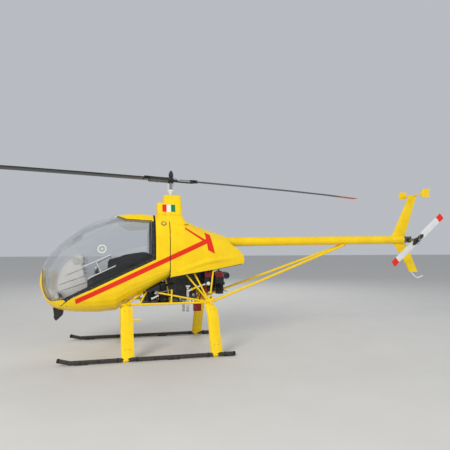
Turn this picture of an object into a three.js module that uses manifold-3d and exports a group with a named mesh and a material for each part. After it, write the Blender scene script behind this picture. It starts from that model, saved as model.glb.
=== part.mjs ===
// Light two-seat tandem helicopter on skids: glazed cabin with a side-hinged canopy, steel tube
// frame with an open flat-four engine, slim tail boom on two struts, teetering main rotor and
// two-bladed tail rotor. Millimetres, +X aft, +Y starboard, +Z up.
// While it is built, x is measured from the mast's axis and z from the ground. At the end the craft
// is shifted so that the origin is on the ground below the middle of its bounding box.
import * as THREE from 'three';
import { mergeVertices } from 'three/addons/utils/BufferGeometryUtils.js';
import Module from 'manifold-3d';

const wasm = await Module();
wasm.setup();

const seam = 0.4;                 // gap between touching pieces
const deg = Math.PI / 180;

// Cabin
const hullWall = 12;
const frameWall = 12;             // canopy frame
const glassWall = 5;
const noseX = -1648;
const noseZ = 895;
const cabinEndX = -52;            // seam between the cabin and the engine cowl
const canopyEndX = -242;          // rear arch of the canopy
const canopyGap = 16;             // between the rear arch and the mast pylon
const hingeGap = 5;               // between the canopy and the hull along the sill

// Canopy hinge along the starboard sill
const hingeY = 378;
const hingeFrontX = -930;
const hingeRearX = -420;
const hingeSlope = 24.9;          // of the sill, degrees
const hingeZAtMast = 1289;        // height of the hinge line, carried on to the mast's station
const knuckleRadius = 9;
const knuckleLength = 34;
const knuckleGap = 5;
const pinRadius = 4;

// Undercarriage
const skidY = 700;
const skidRadius = 24;
const skidZ = 30;
const skidTailX = 702;
const skidBendX = -1222;
const skidTipX = -1354;
const skidTipZ = 88;
const shoeWidth = 34;
const shoeLength = 140;
const legTopZ = 612;
const legTopY = 402;
const stepLength = 100;
const stepZ = 456;

// Steel tube frame
const longeronY = 322;
const longeronZ = 619;
const frontJointX = -597;
const rearJointX = 466;
const frontBeamX = -552;
const saddleX = 536;
const tubeRadius = 14;             // longerons and cross beams
const braceRadius = 11.5;
const stayRadius = 6;

// Tail
const boomRadius = 63;
const boomWall = 3;
const boomStartX = 150;
const boomStartZ = 1401;
const boomEndX = 3596;
const boomEndZ = 1455;
const strutRadius = 17;
const strutWall = 2.5;
const strutBoomX = 2561;
const finThickness = 34;
const stabiliserZ = 2148;
const stabiliserHalfSpan = 280;
const plateThickness = 9;

// Main rotor
const rotorRadius = 3145;
const rotorZ = 2240;
const rotorAzimuth = 10.8;        // the rear blade stands this far to starboard of the tail
const bladeChord = 178;
const bladeThickness = 22;
const bladeRootR = 350;
const bladePitch = 5;             // degrees, leading edge up
const gripPitch = 11;
const bladeDroop = 32;            // at the tip, at rest
const bladeSag = 0.33;            // degrees, of the blades beyond their roots
const bladeLift = 8;              // of the blades over the rotor's plane
const rotorTilt = 1.0;            // of the teetering head as it is parked, front blade up
const mastRadius = 20;
const mastSeatZ = 1900;

// Tail rotor
const tailRotorX = 3681;
const tailRotorY = -250;
const tailRotorZ = 1451;
const tailRotorRadius = 558;
const tailBladeChord = 97;
const tailBladeThickness = 11;
const tailRotorAngle = 40.9;      // the rear blade stands this far above the horizontal
const tailHubRadius = 34;
const tailShaftRadius = 12;

// Finishes
const finish = (color, metalness, roughness, opacity = 1) => new THREE.MeshStandardMaterial({
  color, metalness, roughness, opacity, transparent: opacity < 1,
});
const yellowPaint = finish(0xf2c500, 0.0, 0.25);
const blackPaint = finish(0x15161a, 0.1, 0.45);
const blackBlade = finish(0x1b1c20, 0.1, 0.5);
const clearGlass = finish(0x9fb0b8, 0.0, 0.05, 0.3);
const greyPlastic = finish(0xb9bdc2, 0.0, 0.5);
const darkCloth = finish(0x26272b, 0.0, 0.9);
const brightSteel = finish(0xd2d4d6, 0.9, 0.3);
const castAlloy = finish(0x8d9095, 0.8, 0.5);
const blackRubber = finish(0x101012, 0.0, 0.8);
const redPaint = finish(0xb3202a, 0.1, 0.35);

// Geometry helpers
function toSolid(geometry) {
  const bare = geometry.clone();
  bare.deleteAttribute('normal');
  bare.deleteAttribute('uv');
  const merged = mergeVertices(bare, 1e-3);
  return new wasm.Manifold(new wasm.Mesh({
    numProp: 3,
    vertProperties: new Float32Array(merged.attributes.position.array),
    triVerts: new Uint32Array(merged.index.array),
  }));
}

function toGeometry(solid) {
  const { vertProperties, triVerts, numProp } = solid.getMesh();
  const geometry = new THREE.BufferGeometry();
  const points = [];
  for (let i = 0; i < vertProperties.length; i += numProp) {
    points.push(vertProperties[i], vertProperties[i + 1], vertProperties[i + 2]);
  }
  geometry.setAttribute('position', new THREE.BufferAttribute(new Float32Array(points), 3));
  geometry.setIndex(new THREE.BufferAttribute(new Uint32Array(triVerts), 1));
  geometry.computeVertexNormals();
  return geometry;
}

const join = (...solids) => solids.reduce((whole, next) => whole.add(next));

function box(x0, x1, y0, y1, z0, z1) {
  const geometry = new THREE.BoxGeometry(x1 - x0, y1 - y0, z1 - z0);
  geometry.translate((x0 + x1) / 2, (y0 + y1) / 2, (z0 + z1) / 2);
  return toSolid(geometry);
}

// Round bar between two points, tapered if a second radius is given
function bar(from, to, radius, sides = 10, endRadius = radius) {
  const start = new THREE.Vector3(...from);
  const end = new THREE.Vector3(...to);
  const along = end.clone().sub(start);
  const geometry = new THREE.CylinderGeometry(endRadius, radius, along.length(), sides);
  const turn = new THREE.Quaternion().setFromUnitVectors(
    new THREE.Vector3(0, 1, 0), along.clone().normalize());
  geometry.applyQuaternion(turn);
  const middle = start.add(end).multiplyScalar(0.5);
  geometry.translate(middle.x, middle.y, middle.z);
  return toSolid(geometry);
}

// Side-view outline of [x, z] points, carried across the craft from y0 to y1
function sidePrism(outline, y0, y1) {
  const shape = new THREE.Shape(outline.map(([x, z]) => new THREE.Vector2(x, z)));
  const geometry = new THREE.ExtrudeGeometry(shape, { depth: y1 - y0, bevelEnabled: false });
  geometry.rotateX(90 * deg);
  geometry.translate(0, y1, 0);
  return toSolid(geometry);
}

// Closed skin through a row of rings with the same number of points each
function loft(rings, startPoint = null, endPoint = null) {
  const count = rings[0].length;
  const centre = (ring) => ring.reduce((sum, p) => sum.add(p), new THREE.Vector3())
    .multiplyScalar(1 / ring.length);
  const points = [
    startPoint ?? centre(rings[0]),
    ...rings.flat(),
    endPoint ?? centre(rings[rings.length - 1]),
  ];
  const last = points.length - 1;
  const triangles = [];
  for (let i = 0; i < count; i += 1) {
    const next = (i + 1) % count;
    triangles.push(0, 1 + next, 1 + i);
    for (let k = 0; k < rings.length - 1; k += 1) {
      const near = 1 + k * count;
      const far = near + count;
      triangles.push(near + i, near + next, far + next);
      triangles.push(near + i, far + next, far + i);
    }
    const base = 1 + (rings.length - 1) * count;
    triangles.push(base + i, base + next, last);
  }
  const geometry = new THREE.BufferGeometry();
  const flat = points.flatMap((p) => [p.x, p.y, p.z]);
  geometry.setAttribute('position', new THREE.BufferAttribute(new Float32Array(flat), 3));
  geometry.setIndex(triangles);
  const solid = toSolid(geometry);
  if (solid.volume() > 0) return solid;
  const turned = [];
  for (let i = 0; i < triangles.length; i += 3) {
    turned.push(triangles[i], triangles[i + 2], triangles[i + 1]);
  }
  geometry.setIndex(turned);
  return toSolid(geometry);
}

// Cross-section of the cabin or cowl at one station: a rounded box, flatter below its widest height
function bodyRing({ x, bottom, top, wide, half, power, underPower = power }, count = 32) {
  const ring = [];
  for (let i = 0; i < count; i += 1) {
    const angle = (i / count) * 2 * Math.PI;
    const c = Math.cos(angle);
    const s = Math.sin(angle);
    const n = 2 / (s >= 0 ? power : underPower);
    const y = half * Math.sign(c) * Math.abs(c) ** n;
    const reach = s >= 0 ? top - wide : wide - bottom;
    ring.push(new THREE.Vector3(x, y, wide + reach * Math.sign(s) * Math.abs(s) ** n));
  }
  return ring;
}

// Wing-like section with its chord along one direction and its thickness along another
function foilRing(centre, chordDirection, chord, thickDirection, thickness) {
  const profile = [
    [0.50, 0.0], [0.43, 0.34], [0.22, 0.50], [-0.15, 0.36], [-0.50, 0.03],
    [-0.50, -0.03], [-0.15, -0.36], [0.22, -0.50], [0.43, -0.34],
  ];
  return profile.map(([along, across]) => centre.clone()
    .addScaledVector(chordDirection, along * chord)
    .addScaledVector(thickDirection, across * thickness));
}

const craft = new THREE.Group();
const canopyGroup = new THREE.Group();
craft.add(canopyGroup);

function addPiece(name, solid, material, parent = craft) {
  const mesh = new THREE.Mesh(toGeometry(solid), material);
  mesh.name = name;
  parent.add(mesh);
  return mesh;
}

// Cabin shell. Columns: station, bottom, top, widest height, half width, roundness above and below
const cabinStations = [
  { x: -1641, bottom: 826, top: 985, wide: 895, half: 62, power: 2.0, underPower: 2.0 },
  { x: -1616, bottom: 762, top: 1078, wide: 893, half: 112, power: 2.0, underPower: 2.0 },
  { x: -1575, bottom: 668, top: 1168, wide: 892, half: 160, power: 2.1, underPower: 2.1 },
  { x: -1510, bottom: 590, top: 1267, wide: 893, half: 208, power: 2.2, underPower: 2.2 },
  { x: -1420, bottom: 548, top: 1370, wide: 900, half: 252, power: 2.3, underPower: 2.4 },
  { x: -1290, bottom: 524, top: 1478, wide: 925, half: 293, power: 2.35, underPower: 2.6 },
  { x: -1125, bottom: 513, top: 1600, wide: 965, half: 325, power: 2.4, underPower: 2.8 },
  { x: -930, bottom: 510, top: 1693, wide: 1010, half: 346, power: 2.5, underPower: 3.0 },
  { x: -720, bottom: 527, top: 1756, wide: 1060, half: 356, power: 2.6, underPower: 3.2 },
  { x: -549, bottom: 655, top: 1776, wide: 1110, half: 358, power: 2.7, underPower: 3.2 },
  { x: -380, bottom: 748, top: 1778, wide: 1150, half: 356, power: 2.8, underPower: 3.4 },
  { x: -230, bottom: 838, top: 1762, wide: 1180, half: 352, power: 2.9, underPower: 3.6 },
  { x: cabinEndX, bottom: 942, top: 1746, wide: 1200, half: 346, power: 3.0, underPower: 4.0 },
];
const cabinMiddle = new THREE.Vector3(cabinEndX, 0, 1120);
const cabinReach = new THREE.Vector3(cabinEndX - noseX, 356, 640);

// Solid egg of the cabin, drawn in by the wall's thickness on every side but the open rear
function cabinBody(wall) {
  const shrink = new THREE.Vector3(
    1 - wall / cabinReach.x, 1 - wall / cabinReach.y, 1 - wall / cabinReach.z);
  const draw = (p) => p.clone().sub(cabinMiddle).multiply(shrink).add(cabinMiddle);
  const rings = cabinStations.map((station) => bodyRing(station).map(draw));
  return loft(rings, draw(new THREE.Vector3(noseX, 0, noseZ)));
}

// Side-view lines of the cabin, from nose to tail
const hullSeam = [
  [-1700, 548], [-1440, 548], [-1408, 583], [-1328, 658], [-1238, 714], [-1074, 788],
  [-549, 1036], [canopyEndX, 1176], [canopyEndX + canopyGap, 1183],
];
const sillLine = [[-1345, 690], [-1295, 722], [-1075, 833], [-549, 1080], [canopyEndX, 1222]];
const chinLine = [
  [-1700, 1072], [-1622, 1072], [-1599, 1050], [-1599, 896], [-1583, 806], [-1544, 716],
  [-1480, 668], [-1420, 682], [-1345, 690],
];
const roofEdge = [[-712, 1737], [-591, 1690], [canopyEndX, 1671]];
const archWidth = 30;             // rear arch on the sides
const archCapWidth = 8;           // and over the roof
const wide = 600;                 // half width of the cutting prisms
const high = 2200;

const cabinOuter = cabinBody(0);
const cabinInner = cabinBody(hullWall);

// All that lies above the hull's edge, by a given gap
function aboveSeam(gap) {
  const edge = hullSeam.map(([x, z]) => [x - gap * 0.42, z + gap * 0.9]);
  return sidePrism([...edge, [edge.at(-1)[0], high], [-1700, high]], -wide, wide);
}

function makeHull() {
  const rearMouth = box(-150, 100, -wide, wide, 0, high).intersect(cabinInner);
  const legRoots = [-1, 1].map((side) => bar(
    [frontJointX, side * (longeronY - 80), longeronZ], [frontJointX, side * 440, longeronZ], 62, 12));
  return cabinOuter.subtract(aboveSeam(0)).subtract(cabinInner).subtract(rearMouth).subtract(join(...legRoots));
}

// Canopy skin of a given wall, above the hinge gap and ahead of the pylon
function makeCanopySkin(wall) {
  const ahead = box(-1800, canopyEndX, -wide, wide, 0, high);
  return cabinOuter.subtract(cabinBody(wall)).intersect(aboveSeam(hingeGap)).intersect(ahead);
}

// Regions of the canopy in side view, grown by a little where a neighbour keeps clear of them
const roofRegion = (grow) => {
  const [front, knee, rear] = roofEdge.map(([x, z]) => [x - grow, z - grow]);
  const rearX = canopyEndX - archCapWidth + grow;
  return sidePrism([front, knee, [rearX, rear[1]], [rearX, high], [front[0], high]], -wide, wide);
};
const chinRegion = (grow) => sidePrism(
  [...chinLine, [-1285, 650], [-1285, 400], [-1700, 400]].map(([x, z]) => [x + grow, z + grow]),
  -wide, wide);
const sillRegion = (grow) => sidePrism(
  [...sillLine, [canopyEndX + 10, 1222], [canopyEndX + 10, 1000], [-1345, 500]]
    .map(([x, z]) => [x, z + grow]), -wide, wide);
const archRegion = (grow) => join(
  box(canopyEndX - archWidth - grow, canopyEndX + 10, -wide, wide, 1100, roofEdge.at(-1)[1] + 2),
  box(canopyEndX - archCapWidth - grow, canopyEndX + 10, -wide, wide, 1600, high));

// Opening of the sliding window in the port side
const windowCorners = [[-937, 1139], [-893, 1043], [-754, 1112], [-790, 1225]];

function makeCanopy() {
  const frame = makeCanopySkin(frameWall);
  const pane = makeCanopySkin(glassWall);
  const border = join(roofRegion(seam), chinRegion(seam), sillRegion(seam), archRegion(seam));
  return {
    roof: frame.intersect(roofRegion(0)),
    chin: frame.intersect(chinRegion(0)),
    rim: frame.intersect(join(sillRegion(0), archRegion(0)))
      .subtract(roofRegion(seam)).subtract(chinRegion(seam)),
    glass: pane.subtract(border).subtract(sidePrism(windowCorners, -wide, 0)),
  };
}

// Hinge line along the starboard sill, as a point at a given station
const hingeAt = (x) => [x, hingeY, hingeZAtMast + x * Math.tan(hingeSlope * deg)];

// Knuckles on the hinge line: the fixed ones reach down to the hull, the others up to the canopy.
// A pin on each swinging knuckle turns in the fixed one beside it
function knuckle(station, swings) {
  const half = knuckleLength / 2;
  const run = Math.cos(hingeSlope * deg);
  const middle = station + (swings ? 1 : -1) * (half + knuckleGap / 2) * run;
  const z = hingeAt(middle)[2];
  const barrel = bar(hingeAt(middle - half * run), hingeAt(middle + half * run), knuckleRadius, 12);
  const pinReach = hingeAt(station - (knuckleLength + knuckleGap) * run);
  const leaf = box(middle - 13, middle + 13, hingeY - 60, hingeY - 2,
    ...(swings ? [z - 20, z + 50] : [z - 50, z + 20])).subtract(cabinInner);
  if (swings) {
    return join(barrel, leaf.intersect(aboveSeam(hingeGap)), bar(hingeAt(middle), pinReach, pinRadius, 12));
  }
  const bore = bar(hingeAt(middle - knuckleLength), hingeAt(middle + knuckleLength), pinRadius + 0.5, 12);
  return join(barrel, leaf.subtract(aboveSeam(0))).subtract(bore);
}

function makeCabinPieces() {
  const canopy = makeCanopy();
  const stations = [hingeFrontX, hingeRearX];
  const fixed = join(...stations.map((x) => knuckle(x, false)));
  const swinging = join(...stations.map((x) => knuckle(x, true)));
  addPiece('hull', makeHull().add(fixed), yellowPaint);
  addPiece('canopy_glass', canopy.glass.subtract(swinging), clearGlass, canopyGroup);
  addPiece('canopy_roof', canopy.roof, yellowPaint, canopyGroup);
  addPiece('canopy_chin', canopy.chin, yellowPaint, canopyGroup);
  addPiece('canopy_rim', canopy.rim.add(swinging), blackPaint, canopyGroup);
}

// Seats, console and stick
const innerFit = cabinBody(hullWall + 0.5);

function makeInterior() {
  const base = (lift) => sidePrism([
    [-1290, 530], [-640, 510], [-110, 900], [-110, 1005], [-200, 1010], [-470, 990], [-520, 880],
    [-930, 850], [-960, 640], [-1290, 612],
  ].map(([x, z]) => [x, z + lift]), -330, 330);
  addPiece('seat_base', base(0).intersect(innerFit), greyPlastic);
  const frontSeat = sidePrism([
    [-905, 852.3], [-560, 881], [-466, 1232], [-462, 1262], [-505, 1268], [-532, 1238], [-610, 965],
    [-650, 945], [-905, 925],
  ], -190, 190);
  addPiece('front_seat', frontSeat, darkCloth);
  const rearSeat = sidePrism([
    [-385, 998], [-175, 1012], [-120, 1010], [-96, 1440], [-150, 1450], [-190, 1090], [-385, 1070],
  ], -200, 200);
  addPiece('rear_seat', rearSeat, darkCloth);
  const panelBox = sidePrism([
    [-1395, 690], [-1428, 900], [-1393, 1035], [-1311, 1160], [-1210, 1222], [-1160, 1246], [-1124, 1215],
    [-1132, 1089], [-1100, 960], [-1060, 831], [-1070, 610], [-1180, 610], [-1230, 690],
  ], -110, 110).subtract(base(seam));
  addPiece('instrument_console', panelBox, greyPlastic);
  const stick = join(
    bar([-986, 0, 620], [-1010, 0, 760], 11), bar([-1010, 0, 750], [-965, 0, 980], 11),
    bar([-968, 0, 965], [-950, 0, 1075], 17)).subtract(base(seam));
  addPiece('control_stick', stick, blackRubber);
}

// Mast pylon above the cabin roof, stepped at the front, with a bore for the mast
const pylonFrontX = -196;
const pylonStepX = -106;
const pylonRearX = 136;
const pylonBaseZ = 1744;
const pylonStepZ = 1925;
const pylonTopZ = 2028;

function pylonRing(x0, x1, half, z, corner) {
  const shape = [];
  for (const [cx, cy, from] of [
    [x1 - corner, half - corner, 0], [x0 + corner, half - corner, 90],
    [x0 + corner, corner - half, 180], [x1 - corner, corner - half, 270]]) {
    for (const turn of [0, 45, 90]) {
      const angle = (from + turn) * deg;
      shape.push(new THREE.Vector3(cx + corner * Math.cos(angle), cy + corner * Math.sin(angle), z));
    }
  }
  return shape;
}

// The pylon's skirt runs down into the shoulders of cabin and cowl, where both are cut out of it
function makePylon() {
  const main = loft([
    pylonRing(pylonStepX - 4, 210, 262, 1640, 60),
    pylonRing(pylonStepX - 4, 166, 220, 1696, 60),
    pylonRing(pylonStepX - 4, 144, 184, pylonBaseZ, 50),
    pylonRing(pylonStepX - 2, pylonRearX - 2, 152, 1850, 40),
    pylonRing(pylonStepX, pylonRearX - 10, 125, pylonTopZ - 12, 34),
    pylonRing(pylonStepX + 8, pylonRearX - 20, 112, pylonTopZ, 26),
  ]);
  const front = loft([
    pylonRing(pylonFrontX, pylonStepX + 60, 262, 1640, 60),
    pylonRing(pylonFrontX, pylonStepX + 60, 220, 1696, 60),
    pylonRing(pylonFrontX, pylonStepX + 60, 180, pylonBaseZ, 50),
    pylonRing(pylonFrontX + 3, pylonStepX + 60, 140, pylonStepZ - 10, 32),
    pylonRing(pylonFrontX + 10, pylonStepX + 60, 128, pylonStepZ, 26),
  ]);
  return join(main, front).subtract(bar([0, 0, mastSeatZ], [0, 0, high], mastRadius + 6, 24))
    .subtract(cabinBody(-seam)).subtract(cowlBody(-seam, -9));
}

// Engine cowl: same columns as the cabin stations
const cowlWall = 6;
const cowlStartX = cabinEndX + 4;
const cowlStations = [
  { x: cowlStartX, bottom: 820, top: 1744, wide: 1200, half: 346, power: 3.0, underPower: 5.0 },
  { x: 136, bottom: 830, top: 1744, wide: 1195, half: 338, power: 2.9, underPower: 5.0 },
  { x: 176, bottom: 832, top: 1702, wide: 1194, half: 336, power: 2.8, underPower: 5.0 },
  { x: 330, bottom: 840, top: 1630, wide: 1185, half: 322, power: 2.7, underPower: 5.0 },
  { x: 540, bottom: 860, top: 1556, wide: 1175, half: 294, power: 2.5, underPower: 5.0 },
  { x: 760, bottom: 880, top: 1490, wide: 1165, half: 252, power: 2.4, underPower: 5.0 },
  { x: 900, bottom: 900, top: 1440, wide: 1160, half: 218, power: 2.3, underPower: 5.0 },
  { x: 1000, bottom: 910, top: 1400, wide: 1155, half: 186, power: 2.3, underPower: 5.0 },
];
const cowlSide = [
  [cowlStartX - 1, 948], [207, 992], [538, 1039], [945, 1108], [972, 1124], [979, 1162], [966, 1231],
  [901, 1299], [788, 1388], [735, 1470], [712, 1800], [cowlStartX - 1, 1800],
];

// Solid of the cowl, drawn in by a wall; its front end can be moved
const cowlBody = (wall, ahead = 0) => loft(cowlStations.map(
  ({ x, bottom, top, wide: z, half, power, underPower }, index) => bodyRing({
    x: index === 0 ? x + ahead : x, bottom: bottom + wall, top: top - wall, wide: z, half: half - wall, power,
    underPower,
  })));

function makeCowl() {
  return cowlBody(0).subtract(cowlBody(cowlWall)).intersect(sidePrism(cowlSide, -wide, wide));
}

// Welded tube frame. Joints of a side truss as x, z and how far out in y, then the tubes between them
const trussJoints = {
  frontLow: [frontJointX, longeronZ, longeronY],
  rearLow: [rearJointX, longeronZ, longeronY],
  frontHigh: [-385, 752, 180],
  secondLow: [-430, longeronZ, longeronY],
  secondHigh: [-317, 788, 139],
  thirdHigh: [-196, 757, 308],
  postLow: [-33, longeronZ, longeronY],
  postHigh: [-26, 795, longeronY],
  mountFront: [152, 1005, 232],
  mountMiddle: [261, 1031, 236],
  mountRear: [536, 1082, 266],
};
const trussTubes = [
  ['frontLow', 'rearLow', tubeRadius], ['frontLow', 'frontHigh'], ['secondLow', 'secondHigh'],
  ['thirdHigh', 'rearLow'], ['postLow', 'postHigh'], ['thirdHigh', 'postHigh', stayRadius],
  ['rearLow', 'mountFront'], ['rearLow', 'mountMiddle'],
  ['rearLow', 'mountRear'], ['mountFront', 'mountMiddle'], ['mountMiddle', 'mountRear'],
];

function sideTruss(side, grow = 0) {
  return join(...trussTubes.map(([from, to, radius = braceRadius]) => {
    const [start, end] = [from, to].map((name) => {
      const [x, z, y] = trussJoints[name];
      return new THREE.Vector3(x, side * y, z);
    });
    const reach = end.clone().sub(start).normalize().multiplyScalar(grow);
    return bar(start.sub(reach).toArray(), end.add(reach).toArray(), radius + grow, 8);
  }));
}

// Cross beam between the side trusses, with two posts that reach up to what the beam carries
function crossBeam(x, postTop, postLean, postY) {
  const beam = bar([x, -longeronY + 6, longeronZ], [x, longeronY - 6, longeronZ], tubeRadius, 8);
  const posts = [-1, 1].map((side) => bar(
    [x, side * postY, longeronZ], [x + postLean, side * postY, postTop], 11, 8));
  return join(beam, ...posts).subtract(join(sideTruss(-1, seam), sideTruss(1, seam)));
}

function makeFrame() {
  const clearHull = cabinBody(-seam);
  addPiece('frame_left', sideTruss(-1).subtract(clearHull), yellowPaint);
  addPiece('frame_right', sideTruss(1).subtract(clearHull), yellowPaint);
  addPiece('frame_front_beam', crossBeam(frontBeamX, 700, 0, 150).subtract(clearHull), yellowPaint);
  addPiece('frame_middle_beam', crossBeam(-33, 960, -60, 150).subtract(clearHull), yellowPaint);
  addPiece('frame_rear_beam', crossBeam(rearJointX, crankZ - 75 - seam, 0, 80), yellowPaint);
  const saddleZ = boomAt(saddleX);
  const [, mountZ, mountY] = trussJoints.mountRear;
  const arms = [-1, 1].map((side) => bar(
    [saddleX, side * mountY, mountZ - 6], [saddleX, side * 40, saddleZ - 88], 12, 8));
  const cradle = box(saddleX - 16, saddleX + 16, -36, 36, saddleZ - 90, saddleZ - 40);
  const tie = bar([saddleX, -62, saddleZ - 84], [saddleX, 62, saddleZ - 84], 14, 8);
  addPiece('boom_saddle', join(...arms, tie, cradle)
    .subtract(boomTube(seam)).subtract(join(sideTruss(-1, seam), sideTruss(1, seam))), yellowPaint);
}

// Radiator and battery box between the longerons, each on a cross tube
function makeEquipment() {
  const clearFrame = join(sideTruss(-1, seam), sideTruss(1, seam));
  const crossTube = (x) => bar([x, -longeronY, 632], [x, longeronY, 632], 9, 8);
  const plates = [-158, -147, -136, -125, -114].map((x) => box(x, x + 5, -240, 240, 662, 862));
  const radiator = join(crossTube(-133), box(-156, -110, -225, 225, 640, 866),
    box(-162, -105, -244, 244, 856, 870), box(-162, -105, -244, 244, 650, 668), ...plates);
  addPiece('radiator', radiator.subtract(clearFrame), blackPaint);
  const battery = join(
    crossTube(-280), box(-360, -200, -100, 100, 634, 738), box(-364, -196, -104, 104, 700, 716));
  addPiece('battery_box', battery.subtract(clearFrame).subtract(cabinBody(-seam)), blackPaint);
}

// Faired legs and skids
// Leading edge, trailing edge, height and thickness of each leg's sections
const legShapes = {
  front: [[-640, -530, 606, 40], [-667, -519, 584, 52], [-665, -514, 286, 52], [-660, -508, 70, 60],
    [-655, -509, 30, 66], [-645, -560, 3, 40]],
  rear: [[389, 480, 607, 40], [391, 522, 586, 50], [398, 546, 531, 52], [406, 551, 461, 52],
    [406, 549, 300, 52], [404, 552, 100, 58], [405, 553, 30, 66], [434, 505, 3, 40]],
};
const legLean = (skidY - legTopY) / (legTopZ - skidZ);
const legAt = (z) => legTopY + (legTopZ - z) * legLean;

function legRing([lead, trail, z, thickness], side) {
  const lean = new THREE.Vector3(0, 0.88, 0.47 * side).normalize();
  const centre = new THREE.Vector3((lead + trail) / 2, side * Math.min(legAt(z), skidY), z);
  const across = z < 90 ? new THREE.Vector3(0, 1, 0) : lean;
  return foilRing(centre, new THREE.Vector3(-1, 0, 0), trail - lead, across, thickness);
}

function makeUndercarriage() {
  for (const [end, rootX] of [['front', frontJointX], ['rear', 440]]) {
    for (const [hand, side] of [['left', -1], ['right', 1]]) {
      const fairing = loft(legShapes[end].map((row) => legRing(row, side)))
        .subtract(bar([rootX - 200, side * skidY, skidZ], [rootX + 250, side * skidY, skidZ],
          skidRadius + 0.6, 16));
      const root = bar([rootX, side * (longeronY + tubeRadius + 1), longeronZ],
        [rootX, side * legTopY, longeronZ - 16], 22, 12);
      let leg = join(fairing, root);
      if (end === 'front' && hand === 'left') {
        const stepY = side * legAt(stepZ);
        leg = leg.add(bar([rootX, stepY, stepZ], [-516 + stepLength, stepY, stepZ - 4], 11, 8));
      }
      addPiece(`${end}_leg_${hand}`, leg, yellowPaint);
    }
  }
  for (const [hand, side] of [['left', -1], ['right', 1]]) {
    const y = side * skidY;
    const straight = bar([skidBendX, y, skidZ], [skidTailX, y, skidZ], skidRadius, 12);
    const elbow = toSolid(new THREE.SphereGeometry(skidRadius * 1.02, 12, 8)
      .translate(skidBendX, y, skidZ + 0.5));
    const tip = bar([skidBendX, y, skidZ], [skidTipX, y, skidTipZ - skidRadius], skidRadius, 12);
    const shoes = [skidBendX + 60, -120, skidTailX - shoeLength].map((x) => (
      box(x, x + shoeLength, y - shoeWidth / 2, y + shoeWidth / 2, 0, skidZ - 8)));
    addPiece(`skid_${hand}`, join(straight, elbow, tip, ...shoes), blackPaint);
  }
}

// Flat-four engine with its drive case, exhaust and filters. The crankshaft lies along X
const crankZ = 905;
const engineFrontX = 330;
const engineRearX = 720;
const cylinderX = [[470, -1], [612, -1], [440, 1], [582, 1]];
const cylinderRadius = 44;
const finRadius = 58;
const coverLift = 60;              // of the head's cover over the crankshaft
const coverHeight = 46;
const filterX = 716;
const filterRadius = 46;

function makeEngine() {
  const block = join(
    box(engineFrontX, engineRearX - 40, -92, 92, crankZ - 75, crankZ + 82),
    box(engineRearX - 60, engineRearX, -70, 70, crankZ - 60, crankZ + 60),
    bar([engineFrontX + 40, 0, crankZ - 120], [engineRearX - 120, 0, crankZ - 120], 62, 12),
    ...cylinderX.map(([x, side]) => box(
      x - 54, x + 54, side * 92 - 8, side * 92 + 8, crankZ - 54, crankZ + 54)));
  addPiece('engine_block', block, castAlloy);
  cylinderX.forEach(([x, side], index) => {
    const start = side * (100 + seam);
    const barrel = bar([x, start, crankZ], [x, side * 205, crankZ], cylinderRadius, 16);
    const fins = [];
    for (let k = 0; k < 6; k += 1) {
      const y = side * (112 + k * 15);
      fins.push(bar([x, y, crankZ], [x, y + side * 6, crankZ], finRadius, 16));
    }
    const reach = (near, far) => [side * near, side * far].sort((a, b) => a - b);
    const head = box(x - 50, x + 50, ...reach(203, 246), crankZ - 48, crankZ + coverLift - seam);
    addPiece(`cylinder_${index + 1}`, join(barrel, head, ...fins), castAlloy);
    const cover = join(
      box(x - 54, x + 54, ...reach(198, 250), crankZ + coverLift, crankZ + coverLift + coverHeight),
      box(x - 36, x + 36, ...reach(245, 262), crankZ + coverLift + 12, crankZ + coverLift + coverHeight - 10));
    addPiece(`cylinder_head_${index + 1}`, cover, redPaint);
  });
  const drive = join(
    box(40, engineFrontX - seam, -120, 120, 655, 960), box(-85, 50, -112, 112, 655, 905),
    bar([-98, 0, 780], [-80, 0, 780], 82, 20));
  addPiece('drive_case', drive, blackPaint);
  const pipeZ = 630;
  const pipeRadius = 18;
  const exhaust = join(
    bar([209, -141, 831], [209, -141, 484], pipeRadius, 16),
    bar([195, 141, 831], [195, 141, 445], pipeRadius, 16),
    bar([209, -141, pipeZ], [195, 141, pipeZ], 15, 16),
    box(181, 237, -162, -120 - seam, 808, 830), box(167, 223, 120 + seam, 162, 808, 830));
  addPiece('exhaust', exhaust, brightSteel);
  for (const [hand, side] of [['left', -1], ['right', 1]]) {
    const filter = join(
      bar([702, side * (70 + seam), 938], [702, side * 150, 938], 20, 12),
      bar([filterX, side * 140, 958], [filterX, side * 235, 958], filterRadius, 16));
    addPiece(`air_filter_${hand}`, filter, blackRubber);
  }
  const tank = join(
    bar([662, -48, 700], [662, -48, 820], 56, 20),
    bar([662, -48, 815], [662, -48, crankZ - 75 - seam], 18, 12));
  addPiece('oil_tank', tank, blackPaint);
}

// Tail boom, struts and tail surfaces
const boomAt = (x) => boomStartZ + (boomEndZ - boomStartZ) * (x - boomStartX) / (boomEndX - boomStartX);

const boomTube = (grow, beyond = 0) => bar([boomStartX, 0, boomStartZ],
  [boomEndX + beyond, 0, boomAt(boomEndX + beyond)], boomRadius + grow, 24);

// Fin from rows of leading edge, trailing edge, height and share of the thickness
const finBlade = (rows) => loft(rows.map(([leadX, trailX, z, share]) => foilRing(
  new THREE.Vector3((leadX + trailX) / 2, 0, z), new THREE.Vector3(-1, 0, 0), trailX - leadX,
  new THREE.Vector3(0, 1, 0), share * finThickness)));

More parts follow.
